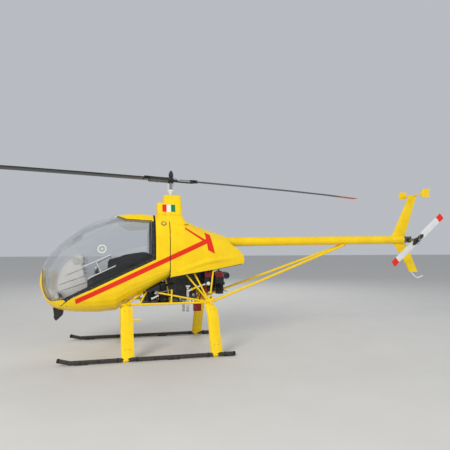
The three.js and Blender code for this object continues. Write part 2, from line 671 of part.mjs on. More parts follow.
function makeTail() {
  const bore = bar([boomStartX - 5, 0, boomAt(boomStartX - 5)], [boomEndX - 60, 0, boomAt(boomEndX - 60)],
    boomRadius - boomWall, 24);
  const lug = (grow) => box(strutBoomX - 45, strutBoomX + 45, -26 - grow, 26 + grow,
    boomAt(strutBoomX) - boomRadius - 24, boomAt(strutBoomX));
  const boom = join(boomTube(0), lug(0)).subtract(bore);
  addPiece('tail_boom', boom, yellowPaint);
  for (const [hand, side] of [['left', -1], ['right', 1]]) {
    const foot = [rearJointX + 32, side * (longeronY - 6), longeronZ + 6];
    const head = [strutBoomX, side * (26 + strutRadius * 0.6), boomAt(strutBoomX) - boomRadius - 8];
    const [boreStart, boreEnd] = [1.003, 0.08].map((share) => (
      head.map((value, k) => value + (foot[k] - value) * share)));
    const strut = bar(foot, head, strutRadius, 10).subtract(lug(seam)).subtract(boomTube(seam))
      .subtract(bar(boreStart, boreEnd, strutRadius - strutWall, 10));
    addPiece(`boom_strut_${hand}`, strut, yellowPaint);
  }
  const cover = boomTube(seam, 64);
  const upper = finBlade([[3392, 3625, 1470, 1], [3713, 3847, stabiliserZ - 11 - seam, 0.8]]);
  addPiece('upper_fin', upper.subtract(cover), yellowPaint);
  const lower = finBlade([
    [3718, 3869, 953, 0.8], [3610, 3779, 1154, 0.9], [3554, 3745, 1231, 0.95], [3401, 3637, 1440, 1]]);
  const skidLine = [[3745, 968], [3772, 932], [3800, 902], [3828, 876], [3858, 863], [3903, 867], [3967, 892]];
  const skid = skidLine.slice(1).map(([x, z], k) => bar([skidLine[k][0], 0, skidLine[k][1]], [x, 0, z], 8, 8));
  addPiece('lower_fin', join(lower.subtract(cover), ...skid), yellowPaint);
  const tube = bar([3818, -stabiliserHalfSpan, stabiliserZ], [3818, stabiliserHalfSpan, stabiliserZ], 11, 10);
  addPiece('stabiliser_tube', tube, yellowPaint);
  for (const [hand, side, shift] of [['left', -1, 0], ['right', 1, 22]]) {
    const near = side * (stabiliserHalfSpan + seam);
    const far = near + side * plateThickness;
    const x = 3726 + shift;
    const z = stabiliserZ - 58 + shift * 0.8;
    const plate = sidePrism([
      [x, z], [x + 134, z + 4], [x + 113, z + 62], [x + 136, z + 126], [x + 14, z + 122], [x - 8, z + 60],
    ], Math.min(near, far), Math.max(near, far));
    addPiece(`stabiliser_plate_${hand}`, plate, yellowPaint);
  }
  const gearbox = join(
    box(boomEndX + 1.4, 3728, -44, 44, tailRotorZ - 42, tailRotorZ + 55),
    bar([tailRotorX, -40, tailRotorZ], [tailRotorX, tailRotorY + 62, tailRotorZ], 20, 16))
    .subtract(bar([tailRotorX, tailRotorY, tailRotorZ], [tailRotorX, tailRotorY + 92.4, tailRotorZ],
      tailShaftRadius + 0.6, 16));
  addPiece('tail_gearbox', gearbox, castAlloy);
}

// Main rotor, turned to its parked azimuth
function makeMainRotor() {
  const rotor = new THREE.Group();
  rotor.rotation.z = rotorAzimuth * deg;
  craft.add(rotor);
  addPiece('mast', bar([0, 0, mastSeatZ + seam], [0, 0, rotorZ - 12], mastRadius, 20), brightSteel, rotor);
  const teeter = new THREE.Group();
  teeter.position.z = rotorZ;
  teeter.rotation.y = rotorTilt * deg;
  rotor.add(teeter);
  const sagStart = bladeRootR + 50;
  const heightAt = (r) => bladeLift - bladeDroop * (r / rotorRadius) ** 4
    - Math.max(0, r - sagStart) * Math.tan(bladeSag * deg);
  const capProfile = [[22, 30], [22, 38], [32, 60], [32, 80], [26, 104], [15, 124], [5, 134]];
  const head = [
    bar([0, 0, -38.5], [0, 0, 34], 37, 16),
    ...capProfile.slice(1).map(([radius, z], k) => (
      bar([0, 0, capProfile[k][1]], [0, 0, z], capProfile[k][0], 16, radius))),
  ];
  for (const side of [-1, 1]) {
    const reach = (near, far) => [side * near, side * far].sort((a, b) => a - b);
    head.push(box(...reach(18, 300), -55, 55, -19, 19).rotate([side * gripPitch, 0, 0]));
    const straps = join(
      box(...reach(285, 372), -44, 44, 11.6, 20), box(...reach(285, 372), -44, 44, -20, -11.6),
      box(...reach(270, 306), -44, 44, -20, 20));
    head.push(straps.rotate([side * bladePitch, 0, 0]).translate([0, 0, bladeLift]));
  }
  addPiece('rotor_head', join(...head).subtract(bar([0, 0, -60], [0, 0, -10], mastRadius + 1.1, 20)),
    blackPaint, teeter);
  const stations = [bladeRootR - 34, sagStart, 1100, 1900, 2560, rotorRadius];
  for (const [name, side] of [['rear', 1], ['front', -1]]) {
    const rise = bladePitch * deg;
    const forward = new THREE.Vector3(0, side * Math.cos(rise), Math.sin(rise));
    const upward = new THREE.Vector3(0, -side * Math.sin(rise), Math.cos(rise));
    const rings = stations.map((r) => foilRing(
      new THREE.Vector3(side * r, 0, heightAt(r)).addScaledVector(forward, -bladeChord * 0.18),
      forward, bladeChord, upward, bladeThickness));
    addPiece(`main_blade_${name}`, loft(rings), blackBlade, teeter);
  }
  const plateZ = 2100;
  const plateRadius = 42;
  const linkTurn = 21;
  const links = [-1, 1].map((side) => join(
    box(...[side * 30, side * 50].sort((a, b) => a - b), -9, 9, plateZ - 6, plateZ + 6),
    bar([side * 44, 0, plateZ], [side * 44, 0, rotorZ - 44], 5, 8)).rotate([0, 0, linkTurn]));
  const swash = join(
    bar([0, 0, 2036], [0, 0, 2060], 26, 20), bar([0, 0, 2060], [0, 0, plateZ - 7], 26, 20, plateRadius),
    bar([0, 0, plateZ - 7], [0, 0, plateZ + 7], plateRadius, 20), ...links)
    .subtract(bar([0, 0, mastSeatZ], [0, 0, rotorZ], mastRadius + seam, 20));
  addPiece('swashplate', swash, brightSteel, rotor);
}

function makeTailRotor() {
  const rotor = new THREE.Group();
  rotor.position.set(tailRotorX, tailRotorY, tailRotorZ);
  rotor.rotation.y = -tailRotorAngle * deg;
  craft.add(rotor);
  const hub = join(
    bar([0, -38, 0], [0, 92, 0], tailShaftRadius, 16), bar([0, -24, 0], [0, 24, 0], tailHubRadius, 16),
    box(-96, 96, -16, 16, -24, 24));
  addPiece('tail_rotor_hub', hub, blackPaint, rotor);
  for (const [name, side] of [['upper', 1], ['lower', -1]]) {
    const ring = (r, twist) => {
      const chordDirection = new THREE.Vector3(0, Math.sin(twist), side * Math.cos(twist));
      return foilRing(new THREE.Vector3(side * r, 0, 0), chordDirection, tailBladeChord,
        new THREE.Vector3(0, 1, 0), tailBladeThickness);
    };
    const blade = loft([ring(96 + seam, 0.1), ring(330, 0.08), ring(tailRotorRadius, 0.05)]);
    addPiece(`tail_blade_${name}`, blade, brightSteel, rotor);
  }
}

function makeNoseLight() {
  const chinEndX = -1408;
  const housing = sidePrism([[-1488, 560], [-1476, 472], [-1450, 410], [-1380, 474], [-1370, 530],
    [-1370, 620], [-1488, 620]], -46, 46)
    .subtract(cabinBody(-seam))
    .subtract(cabinBody(-6).intersect(box(-1700, chinEndX + 6, -wide, wide, 0, 900)));
  addPiece('nose_light', housing, blackPaint);
}

makeCabinPieces();
makeInterior();
addPiece('mast_pylon', makePylon(), yellowPaint);
addPiece('engine_cowl', makeCowl(), yellowPaint);
makeFrame();
makeEquipment();
makeUndercarriage();
makeEngine();
makeTail();
makeMainRotor();
makeTailRotor();
makeNoseLight();

craft.updateMatrixWorld(true);
const bounds = new THREE.Box3().setFromObject(craft);
craft.position.set(-(bounds.min.x + bounds.max.x) / 2, -(bounds.min.y + bounds.max.y) / 2, -bounds.min.z);

export default craft;
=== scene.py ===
# Finishes and details for a small yellow two-seat helicopter, standing on a pale floor
import math

import bmesh
import bpy
from mathutils import Matrix, Vector
from mathutils.bvhtree import BVHTree


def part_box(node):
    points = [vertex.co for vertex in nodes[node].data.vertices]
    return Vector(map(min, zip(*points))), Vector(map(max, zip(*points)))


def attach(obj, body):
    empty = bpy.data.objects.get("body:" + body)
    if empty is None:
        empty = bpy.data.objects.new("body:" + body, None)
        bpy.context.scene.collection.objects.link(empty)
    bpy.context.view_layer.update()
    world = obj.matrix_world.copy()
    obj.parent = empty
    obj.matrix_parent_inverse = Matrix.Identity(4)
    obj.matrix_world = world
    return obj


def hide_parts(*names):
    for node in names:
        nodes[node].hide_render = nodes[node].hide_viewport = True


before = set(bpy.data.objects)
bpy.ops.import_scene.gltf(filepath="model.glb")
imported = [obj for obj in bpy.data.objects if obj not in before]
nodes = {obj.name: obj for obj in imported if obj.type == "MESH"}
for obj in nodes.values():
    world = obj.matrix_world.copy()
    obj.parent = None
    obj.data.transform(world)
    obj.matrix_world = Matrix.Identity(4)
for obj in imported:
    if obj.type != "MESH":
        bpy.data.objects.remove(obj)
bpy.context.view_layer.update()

# Sizes below are metres from the mast's axis (x aft, y starboard) and from the floor (z)
mastLow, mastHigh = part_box("mast")
mastX = (mastLow.x + mastHigh.x) / 2
up, aft, starboard = Vector((0, 0, 1)), Vector((1, 0, 0)), Vector((0, 1, 0))
bothSides = (-1, 1)  # port first
print("frame loaded, mast at x", round(mastX, 4))


def spot(x, y, z):
    return Vector((mastX + x, y, z))


def addObject(name, data):
    thing = bpy.data.objects.new(name, data)
    bpy.context.scene.collection.objects.link(thing)
    return thing


# Camera, at the height of a standing person beside the nose
cameraFacts = {"place": spot(-0.697, -5.823, 1.338), "turn": -14.003, "lens": 34.4, "sensor": 36,
               "shiftUp": 0.0493, "farthest": 300}


def makeCamera():
    data = bpy.data.cameras.new("camera")
    data.lens, data.sensor_width = cameraFacts["lens"], cameraFacts["sensor"]
    data.shift_y, data.clip_end = cameraFacts["shiftUp"], cameraFacts["farthest"]
    camera = addObject("camera", data)
    camera.location = cameraFacts["place"]
    camera.rotation_euler = (math.radians(90), 0, math.radians(cameraFacts["turn"]))
    bpy.context.scene.camera = camera


makeCamera()


# Small helpers for node trees
def isSocket(value):
    return isinstance(value, bpy.types.NodeSocket)


def addNode(tree, kind, inputs=None, **settings):
    node = tree.nodes.new(kind)
    for key, value in settings.items():
        setattr(node, key, value)
    for key, value in (inputs or {}).items():
        if isSocket(value):
            tree.links.new(value, node.inputs[key])
        else:
            node.inputs[key].default_value = value
    return node


def maths(tree, operation, first, second=0.0):
    return addNode(tree, "ShaderNodeMath", {0: first, 1: second}, operation=operation).outputs[0]


def vectorMaths(tree, operation, first, second=(0, 0, 0)):
    node = addNode(tree, "ShaderNodeVectorMath", {0: first, 1: second}, operation=operation)
    return node.outputs["Value" if operation in ("DOT_PRODUCT", "LENGTH") else "Vector"]


def objectCoords(tree, output="Object"):
    return addNode(tree, "ShaderNodeTexCoord").outputs[output]


def noiseOn(tree, place, scale, detail=3.0):
    return addNode(tree, "ShaderNodeTexNoise", {
        "Vector": place, "Scale": scale, "Detail": detail, "Roughness": 0.55}).outputs["Fac"]


# Spreads the middle of a noise over a range
def spread(tree, value, low, high):
    return addNode(tree, "ShaderNodeMapRange", {
        "Value": value, "From Min": 0.35, "From Max": 0.65, "To Min": low, "To Max": high}).outputs[0]


def mixColour(tree, amount, *colours):
    first, second = (colour if isSocket(colour) else (*colour, 1) for colour in colours)
    return addNode(tree, "ShaderNodeMix", {0: amount, 6: first, 7: second}, data_type="RGBA").outputs[2]


def addBump(tree, height, distance, strength):
    relief = addNode(tree, "ShaderNodeBump", {"Height": height, "Distance": distance, "Strength": strength})
    tree.links.new(relief.outputs[0], tree.nodes["Principled BSDF"].inputs["Normal"])


# A finish: two tones over a noise, a range of roughness and a fine bump, given as (height, grain)
def newFinish(name, tone, shade, rough, grain, bump=None, stretch=(1, 1, 1), **fixed):
    material = bpy.data.materials.new(name)
    material.use_nodes = True
    tree = material.node_tree
    shader = tree.nodes["Principled BSDF"]
    place = addNode(tree, "ShaderNodeMapping", {"Vector": objectCoords(tree), "Scale": stretch}).outputs[0]
    cloud = spread(tree, noiseOn(tree, place, grain), 0, 1)
    tree.links.new(mixColour(tree, cloud, tone, shade), shader.inputs["Base Color"])
    tree.links.new(spread(tree, noiseOn(tree, place, grain * 3.1), *rough), shader.inputs["Roughness"])
    if bump:
        addBump(tree, noiseOn(tree, place, bump[1], 4), bump[0], 0.6)
    for socket, value in fixed.items():
        shader.inputs[socket.replace("_", " ")].default_value = value
    return material


# Puts a second colour over a finish where mask is 1
def overlay(material, mask, colour):
    tree = material.node_tree
    socket = tree.nodes["Principled BSDF"].inputs["Base Color"]
    tree.links.new(mixColour(tree, mask, socket.links[0].from_socket, colour), socket)


# 1 inside a convex shape in side view, corners in (x, z) going round either way
def sideShapeMask(tree, corners):
    place = objectCoords(tree)
    points = [Vector((mastX + x, z)) for x, z in corners]
    middle = sum(points, Vector((0, 0))) / len(points)
    inside = None
    for first, second in zip(points, points[1:] + points[:1]):
        normal = Vector((first.y - second.y, second.x - first.x)).normalized()
        if normal.dot(middle - first) < 0:
            normal = -normal
        reach = vectorMaths(tree, "DOT_PRODUCT", place, (normal.x, 0, normal.y))
        test = maths(tree, "GREATER_THAN", reach, normal.dot(first))
        inside = test if inside is None else maths(tree, "MULTIPLY", inside, test)
    return inside


# 1 on faces that look in towards an axis along x, and 0 on the outer skin
def innerMask(tree, axisZ):
    flat = vectorMaths(tree, "MULTIPLY", objectCoords(tree), (0, 1, 1))
    fromAxis = vectorMaths(tree, "SUBTRACT", flat, (0, 0, axisZ))
    outward = vectorMaths(tree, "DOT_PRODUCT", fromAxis, objectCoords(tree, "Normal"))
    return maths(tree, "LESS_THAN", outward, 0.0)


# 1 beyond a radius round an axis; keep is 1 across the axis and 0 along it
def beyondRadius(tree, centre, keep, radius):
    offset = vectorMaths(tree, "SUBTRACT", objectCoords(tree), centre)
    flat = vectorMaths(tree, "MULTIPLY", offset, keep)
    return maths(tree, "GREATER_THAN", vectorMaths(tree, "LENGTH", flat), radius)


# Paint, with the stripes' corners in (x, z) and the radii beyond which the blade tips are red
paintFacts = {
    "yellow": ((0.95, 0.655, 0.003), (0.90, 0.585, 0.002)), "red": (0.76, 0.022, 0.003),
    "green": (0.01, 0.20, 0.05), "white": (0.80, 0.79, 0.74), "lining": (0.030, 0.031, 0.034), "liningZ": 1.2,
    "hull": [[(-1.208, 0.697), (-0.040, 1.235), (-0.040, 1.168), (-1.197, 0.637)]],
    "cowl": [[(-0.060, 1.226), (0.433, 1.449), (0.452, 1.390), (-0.060, 1.159)],
             [(0.417, 1.532), (0.493, 1.502), (0.548, 1.250), (0.452, 1.300)],
             [(0.146, 1.577), (0.160, 1.594), (0.434, 1.428), (0.408, 1.406)]],
    "patch": {"front": -0.130, "rear": 0.040, "low": 1.802, "high": 1.899},
    "tailSkid": [(3.70, 0.84), (4.05, 0.84), (4.05, 0.9525), (3.70, 0.9525)],
    "bladeTip": 2.810, "tailTip": 0.463, "tailCentre": (3.681, 0, 1.451),
}


def yellowFinish(name, scale=6.0, rough=(0.20, 0.30)):
    return newFinish(name, *paintFacts["yellow"], rough, scale, (0.00025, 160),
                     Coat_Weight=0.22, Coat_Roughness=0.08, Specular_IOR_Level=0.32)


def makePaints():
    made = {"plain": yellowFinish("yellow_paint"),
            "tube": yellowFinish("yellow_tube_paint", 22, (0.32, 0.45))}
    for part in ("hull", "cowl", "pylon", "fin"):
        made[part] = yellowFinish("yellow_" + part + "_paint")
        tree = made[part].node_tree
        for corners in paintFacts.get(part, []):
            overlay(made[part], sideShapeMask(tree, corners), paintFacts["red"])
        if part in paintFacts:
            overlay(made[part], innerMask(tree, paintFacts["liningZ"]), paintFacts["lining"])
    patch = paintFacts["patch"]
    third = (patch["rear"] - patch["front"]) / 3
    for count, colour in enumerate(("red", "white", "green")):
        left, right = patch["front"] + count * third, patch["front"] + (count + 1) * third
        corners = [(left, patch["low"]), (right, patch["low"]), (right, patch["high"]), (left, patch["high"])]
        overlay(made["pylon"], sideShapeMask(made["pylon"].node_tree, corners), paintFacts[colour])
    skid = sideShapeMask(made["fin"].node_tree, paintFacts["tailSkid"])
    overlay(made["fin"], skid, paintFacts["white"])
    return made


# Cloth with a woven bump, for seats and straps
def clothFinish(name, tone, shade, threads):
    material = newFinish(name, tone, shade, (0.75, 0.95), 30, Sheen_Weight=0.35, Sheen_Roughness=0.5)
    tree = material.node_tree
    place = objectCoords(tree)
    weave = 1.0
    for direction in ("X", "Y", "Z"):
        wave = addNode(tree, "ShaderNodeTexWave", {"Vector": place, "Scale": threads},
                       bands_direction=direction)
        weave = maths(tree, "MULTIPLY", weave, wave.outputs["Fac"])
    addBump(tree, weave, 0.0008, 0.7)
    return material


# Every other finish: the slot of its pieces, its name, two tones, range of roughness, grain and the rest
finishFacts = {
    "glass": ("glazing", "canopy_glazing", (0.88, 0.93, 0.96), (0.86, 0.91, 0.94), (0.005, 0.02), 3,
              {"Transmission_Weight": 1.0, "IOR": 1.47, "Alpha": 0.30}),
    "clearPlastic": ("glazing", "clear_moulding", (0.62, 0.63, 0.64), (0.55, 0.56, 0.57), (0.2, 0.3), 30,
                     {"Alpha": 0.85}),
    "blackPaint": ("black_paint", "black_paint", (0.018, 0.018, 0.019), (0.028, 0.027, 0.026), (0.28, 0.45),
                   18, {"bump": (0.0002, 220), "Coat_Weight": 0.2}),
    "skidPaint": (None, "skid_paint", (0.022, 0.021, 0.020), (0.060, 0.056, 0.050), (0.45, 0.7), 25,
                  {"bump": (0.0003, 260)}),
    "blade": (None, "blade_skin", (0.013, 0.013, 0.014), (0.020, 0.020, 0.020), (0.36, 0.48), 8,
              {"bump": (0.0002, 180), "stretch": (1, 6, 1), "Coat_Weight": 0.15}),
    "trimBlack": ("black_paint", "dark_trim", (0.016, 0.016, 0.018), (0.024, 0.024, 0.026), (0.40, 0.55), 30,
                  {"bump": (0.0002, 320)}),
    "dialFace": ("black_paint", "dial_face", (0.012, 0.012, 0.013), (0.016, 0.016, 0.017), (0.35, 0.45), 60,
                 {}),
    "darkAlloy": ("black_paint", "dark_alloy", (0.060, 0.060, 0.062), (0.035, 0.034, 0.034), (0.45, 0.65), 30,
                  {"bump": (0.0006, 360), "Metallic": 0.6}),
    "rubber": ("black_rubber", "black_rubber", (0.012, 0.012, 0.012), (0.022, 0.021, 0.020), (0.62, 0.82), 40,
               {"bump": (0.0004, 300)}),
    "greyPlastic": (None, "pale_moulding", (0.86, 0.84, 0.81), (0.80, 0.78, 0.76), (0.45, 0.6), 12,
                    {"bump": (0.0004, 500)}),
    "paleTrim": ("grey_plastic", "pale_trim", (0.62, 0.62, 0.60), (0.54, 0.54, 0.53), (0.35, 0.5), 30,
                 {"bump": (0.0002, 300)}),
    "seamShadow": ("grey_plastic", "seam_shadow", (0.030, 0.028, 0.026), (0.022, 0.021, 0.020), (0.6, 0.8),
                   30, {}),
    "seamShade": ("yellow_body", "panel_seam", (0.30, 0.19, 0.002), (0.25, 0.15, 0.002), (0.5, 0.7), 30, {}),
    "lining": ("seat_cloth", "cabin_lining", (0.035, 0.036, 0.040), (0.026, 0.027, 0.030), (0.7, 0.9), 30,
               {"bump": (0.0006, 420)}),
    "steel": ("bright_steel", "bright_steel", (0.58, 0.58, 0.59), (0.46, 0.46, 0.48), (0.18, 0.32), 30,
              {"bump": (0.0001, 400), "stretch": (1, 1, 8), "Metallic": 1.0}),
    "white": ("bright_steel", "white_mark", (0.80, 0.79, 0.74), (0.72, 0.71, 0.67), (0.4, 0.5), 50, {}),
    "lens": ("bright_steel", "lamp_lens", (0.85, 0.88, 0.90), (0.80, 0.84, 0.87), (0.04, 0.10), 30,
             {"Transmission_Weight": 0.8}),
    "exhaust": (None, "heated_steel", (0.80, 0.80, 0.82), (0.64, 0.63, 0.63), (0.32, 0.50), 14,
                {"bump": (0.0003, 200), "Metallic": 0.35}),
    "alloy": ("cast_alloy", "cast_alloy", (0.42, 0.42, 0.43), (0.30, 0.30, 0.31), (0.42, 0.6), 35,
              {"bump": (0.0008, 380), "Metallic": 1.0}),
    "bronze": ("cast_alloy", "bronze_casting", (0.46, 0.33, 0.26), (0.36, 0.25, 0.20), (0.4, 0.55), 30,
               {"bump": (0.0004, 300), "Metallic": 0.8}),
    "paleAlloy": ("cast_alloy", "pale_alloy", (0.72, 0.72, 0.71), (0.62, 0.62, 0.62), (0.28, 0.42), 30,
                  {"bump": (0.0002, 300), "Metallic": 0.7}),
    "whiteBlade": (None, "white_blade", (0.74, 0.74, 0.74), (0.66, 0.66, 0.67), (0.25, 0.38), 14,
                   {"bump": (0.0002, 200)}),
    "red": ("red_paint", "red_cover_paint", (0.26, 0.010, 0.012), (0.19, 0.008, 0.009), (0.30, 0.48), 25,
            {"bump": (0.0004, 300), "Coat_Weight": 0.2}),
}
finishes = {
    **makePaints(),
    "seatCloth": clothFinish("seat_cloth", (0.030, 0.032, 0.038), (0.016, 0.017, 0.020), 420),
    "webbing": clothFinish("webbing", (0.10, 0.105, 0.12), (0.06, 0.06, 0.07), 700),
    **{look: newFinish(*facts[1:-1], **facts[-1]) for look, facts in finishFacts.items()},
}
for look, centre, keep, radius in (
        ("blade", spot(0, 0, 0), (1, 1, 0), paintFacts["bladeTip"]),
        ("whiteBlade", spot(*paintFacts["tailCentre"]), (1, 0, 1), paintFacts["tailTip"])):
    overlay(finishes[look], beyondRadius(finishes[look].node_tree, centre, keep, radius), paintFacts["red"])
print("finishes made")

# What each CAD node is finished with, by the start of its name; the longest start that fits counts
nodeLooks = {
    "hull": "hull", "engine_cowl": "cowl", "mast_pylon": "pylon", "lower_fin": "fin", "canopy_": "plain",
    "canopy_glass": "glass", "canopy_rim": "trimBlack", "seat_base": "lining",
    "instrument_console": "greyPlastic", "control_stick": "rubber", "mast": "steel", "swashplate": "white",
    "rotor_head": "blackPaint", "tail_rotor_hub": "blackPaint", "tail_gearbox": "alloy",
    "engine_block": "darkAlloy", "drive_case": "blackPaint", "exhaust": "exhaust", "oil_tank": "blackPaint",
    "nose_light": "trimBlack", "radiator": "darkAlloy", "battery_box": "trimBlack", "frame_": "tube",
    "boom_": "tube", "front_leg": "plain", "rear_leg": "plain", "skid_": "skidPaint",
    "cylinder_head": "red", "cylinder_": "darkAlloy",
    "air_filter": "rubber", "tail_boom": "plain", "upper_fin": "plain", "stabiliser": "plain",
    "main_blade": "blade", "tail_blade": "whiteBlade", "front_seat": "seatCloth", "rear_seat": "seatCloth",
}
for name, node in nodes.items():
    start = max((start for start in nodeLooks if name.startswith(start)), key=len)
    if not node.data.materials:
        node.data.materials.append(None)
    node.material_slots[0].material = finishes[nodeLooks[start]]


# Mesh building: each function adds a closed shell to a bmesh
def loft(bm, rings, ends="caps"):
    rows = [[bm.verts.new(point) for point in ring] for ring in rings]
    for first, second in zip(rows, rows[1:] + (rows[:1] if ends == "loop" else [])):
        count = max(len(first), len(second))
        for k in range(count):
            pairs = [(first, k), (first, k + 1), (second, k + 1), (second, k)]
            corners = dict.fromkeys(row[place % len(row)] for row, place in pairs)
            bm.faces.new(list(corners))
    if ends == "caps":
        for row in (rows[0][::-1], rows[-1]):
            if len(row) > 1:
                bm.faces.new(row)
    return rows


# A bar of constant section along a path. The outline is in (sideways, upwards)
def addSweep(bm, path, upHint, outline):
    rings = []
    for index, point in enumerate(path):
        tangent = (path[min(index + 1, len(path) - 1)] - path[max(index - 1, 0)]).normalized()
        side = tangent.cross(upHint[index] if isinstance(upHint, list) else upHint).normalized()
        top = side.cross(tangent).normalized()
        rings.append([point + side * a + top * b for a, b in outline])
    loft(bm, rings)


def axesOf(axis):
    axis = axis.normalized()
    side = axis.orthogonal().normalized()
    return axis, side, axis.cross(side)


# The cosines and sines of even steps round a circle
def turns(count, first=0.0):
    return [(math.cos(math.tau * (k + first) / count), math.sin(math.tau * (k + first) / count))
            for k in range(count)]


# The points of a circle round an axis
def circle(centre, axis, radius, count):
    axis, side, other = axesOf(axis)
    return [centre + (side * a + other * b) * radius for a, b in turns(count)]


# A turned shape. The profile is in (radius, distance along the axis), from end to end
def addTurned(bm, origin, axis, profile, count=24):
    rings = []
    for radius, along in profile:
        centre = origin + axis.normalized() * along
        rings.append([centre] if radius < 1e-6 else circle(centre, axis, radius, count))
    loft(bm, rings)


# A ring about an axis: its profile is closed on itself
def addHoop(bm, origin, axis, profile, count=32):
    axis, side, other = axesOf(axis)
    loft(bm, [[origin + (side * a + other * b) * radius + axis * along for radius, along in profile]
              for a, b in turns(count)], "loop")


# A plate: an outline on two axes, thick along a third
def addPlate(bm, origin, across, along, outline, thickness):
    normal = across.cross(along).normalized() * thickness
    loft(bm, [[origin + across * a + along * b + lift for a, b in outline] for lift in (normal * 0, normal)])


def addBox(bm, first, second):
    low = Vector(map(min, first, second))
    size = Vector(map(max, first, second)) - low
    addPlate(bm, low, aft * size.x, starboard * size.y, rectangle(1, 1), size.z)


# A straight round rod between two points
def addRod(bm, start, end, radius, count=12, endRadius=None):
    addTurned(bm, start, end - start, [(radius, 0), (endRadius or radius, (end - start).length)], count)


# Outlines and profiles that come back often
def rectangle(width, height):
    return [(0, 0), (width, 0), (width, height), (0, height)]


def bar(width, low, high):
    return [(-width / 2, low), (width / 2, low), (width / 2, high), (-width / 2, high)]


def disc(radius, height):
    return [(radius, 0), (radius, height), (0, height)]


def band(foot, top, width):
    return [(foot, 0), (top, 0.002), (top, width - 0.002), (foot, width)]


def ball(radius, steps=10):
    return [(radius * math.sin(math.pi * k / steps), -radius * math.cos(math.pi * k / steps))
            for k in range(steps + 1)]


# Adds shapes from rows of facts. Places and ways are (x, y, z), and side -1 mirrors their y. A shelf is a
# flat rectangle whose width runs aft, whose depth runs outwards and which is thick upwards to starboard
def addRows(bm, rows, side=1):
    makers = {"rod": addRod, "turn": addTurned, "hoop": addHoop, "box": addBox}
    for kind, (x, y, z), (a, b, c), *facts in rows:
        start = spot(x, y * side, z)
        if kind == "shelf":
            addPlate(bm, start, aft, starboard * side, rectangle(a, b), c)
        else:
            second = spot(a, b * side, c) if kind in ("rod", "box") else Vector((a, b * side, c))
            makers[kind](bm, start, second, *facts)


def finishPiece(bm, name, look, bevel=0.0, steps=2, body="airframe", slot=None):
    if bevel:
        sharp = [e for e in bm.edges if len(e.link_faces) == 2 and e.calc_face_angle(0) > 0.6]
        bmesh.ops.bevel(bm, geom=sharp, offset=bevel, segments=steps, profile=0.6, affect="EDGES",
                        clamp_overlap=True)
    bmesh.ops.recalc_face_normals(bm, faces=bm.faces)
    mesh = bpy.data.meshes.new(name)
    bm.to_mesh(mesh)
    bm.free()
    placeMesh(mesh, name, look, body)


def placeMesh(mesh, name, look, body):
    mesh.materials.clear()
    mesh.materials.append(finishes[look])
    mesh.shade_smooth()
    mesh.set_sharp_from_angle(angle=math.radians(35))
    piece = addObject(name, mesh)
    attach(piece, body)


# A piece made of rows: those for each side, then those that stand alone
def makePiece(name, look, rows, sides=(1,), alone=(), **facts):
    bm = bmesh.new()
    for side in sides:
        addRows(bm, rows, side)
    addRows(bm, alone)
    finishPiece(bm, name, look, **facts)


# The skin of a CAD node, to lay things on
skins = {}


def treeOf(mesh):
    return BVHTree.FromPolygons([v.co for v in mesh.vertices], [p.vertices for p in mesh.polygons])


def skinOf(name):
    if name not in skins:
        skins[name] = treeOf(nodes[name].data)
    return skins[name]


# Where a side view's point lies on a node's outer skin, and which way the skin faces there
def onSide(name, x, z, side=-1, lift=0.0):
    point, normal, _, _ = skinOf(name).ray_cast(spot(x, side * 2.0, z), Vector((0, -side, 0)))
    if point is None:
        point, normal, _, _ = skinOf(name).find_nearest(spot(x, side * 0.3, z))
    if normal.y * side < 0:
        normal = -normal
    return point + normal * lift, normal


# Points along a line drawn in side view, laid on a node's skin
def alongSkin(name, corners, step, side=-1, lift=0.0):
    places = []
    for first, second in zip(corners, corners[1:]):
        count = max(2, round(math.dist(first, second) / step) + 1)
        for k in range(1 if places else 0, count):
            x, z = (a + (b - a) * (k / (count - 1)) for a, b in zip(first, second))
            places.append(onSide(name, x, z, side, lift))
    return places


def skinLine(*facts):
    return [point for point, _ in alongSkin(*facts)]


# A strip laid on a node's skin along a line drawn in side view
def addStrip(bm, name, corners, width, height, step=0.02, side=-1):
    places = alongSkin(name, corners, step, side)
    addSweep(bm, [p for p, _ in places], [n for _, n in places], bar(width, -0.001, height))


# A closed sheet between two grids of points
def addSheet(bm, low, high):
    low, high = ([[bm.verts.new(point) for point in row] for row in grid] for grid in (low, high))
    along, across = len(low) - 1, len(low[0]) - 1
    for j in range(along):
        for i in range(across):
            for rows in (low, high):
                bm.faces.new((rows[j][i], rows[j][i + 1], rows[j + 1][i + 1], rows[j + 1][i]))
    rim = [(0, i) for i in range(across)] + [(j, across) for j in range(along)]
    rim += [(along, i) for i in range(across, 0, -1)] + [(j, 0) for j in range(along, 0, -1)]
    for (a, b), (c, d) in zip(rim, rim[1:] + rim[:1]):
        bm.faces.new((low[a][b], high[a][b], high[c][d], low[c][d]))


# Geometry node trees
def newTree(name, *sizes):
    tree = bpy.data.node_groups.new(name, "GeometryNodeTree")
    kinds = {"Geometry": "Geometry", **{size: "Int" if size == "Sides" else "Float" for size in sizes},
             "Finish": "Material"}
    for label, kind in kinds.items():
        tree.interface.new_socket(name=label, in_out="INPUT", socket_type="NodeSocket" + kind)
    tree.interface.new_socket(name="Geometry", in_out="OUTPUT", socket_type="NodeSocketGeometry")
    return tree, tree.nodes.new("NodeGroupInput").outputs


def endTree(tree, geometry, entry):
    real = addNode(tree, "GeometryNodeRealizeInstances", {"Geometry": geometry})
    done = addNode(tree, "GeometryNodeSetMaterial", {
        "Geometry": real.outputs[0], "Material": entry["Finish"]})
    addNode(tree, "NodeGroupOutput", {0: done.outputs[0]})
    return tree


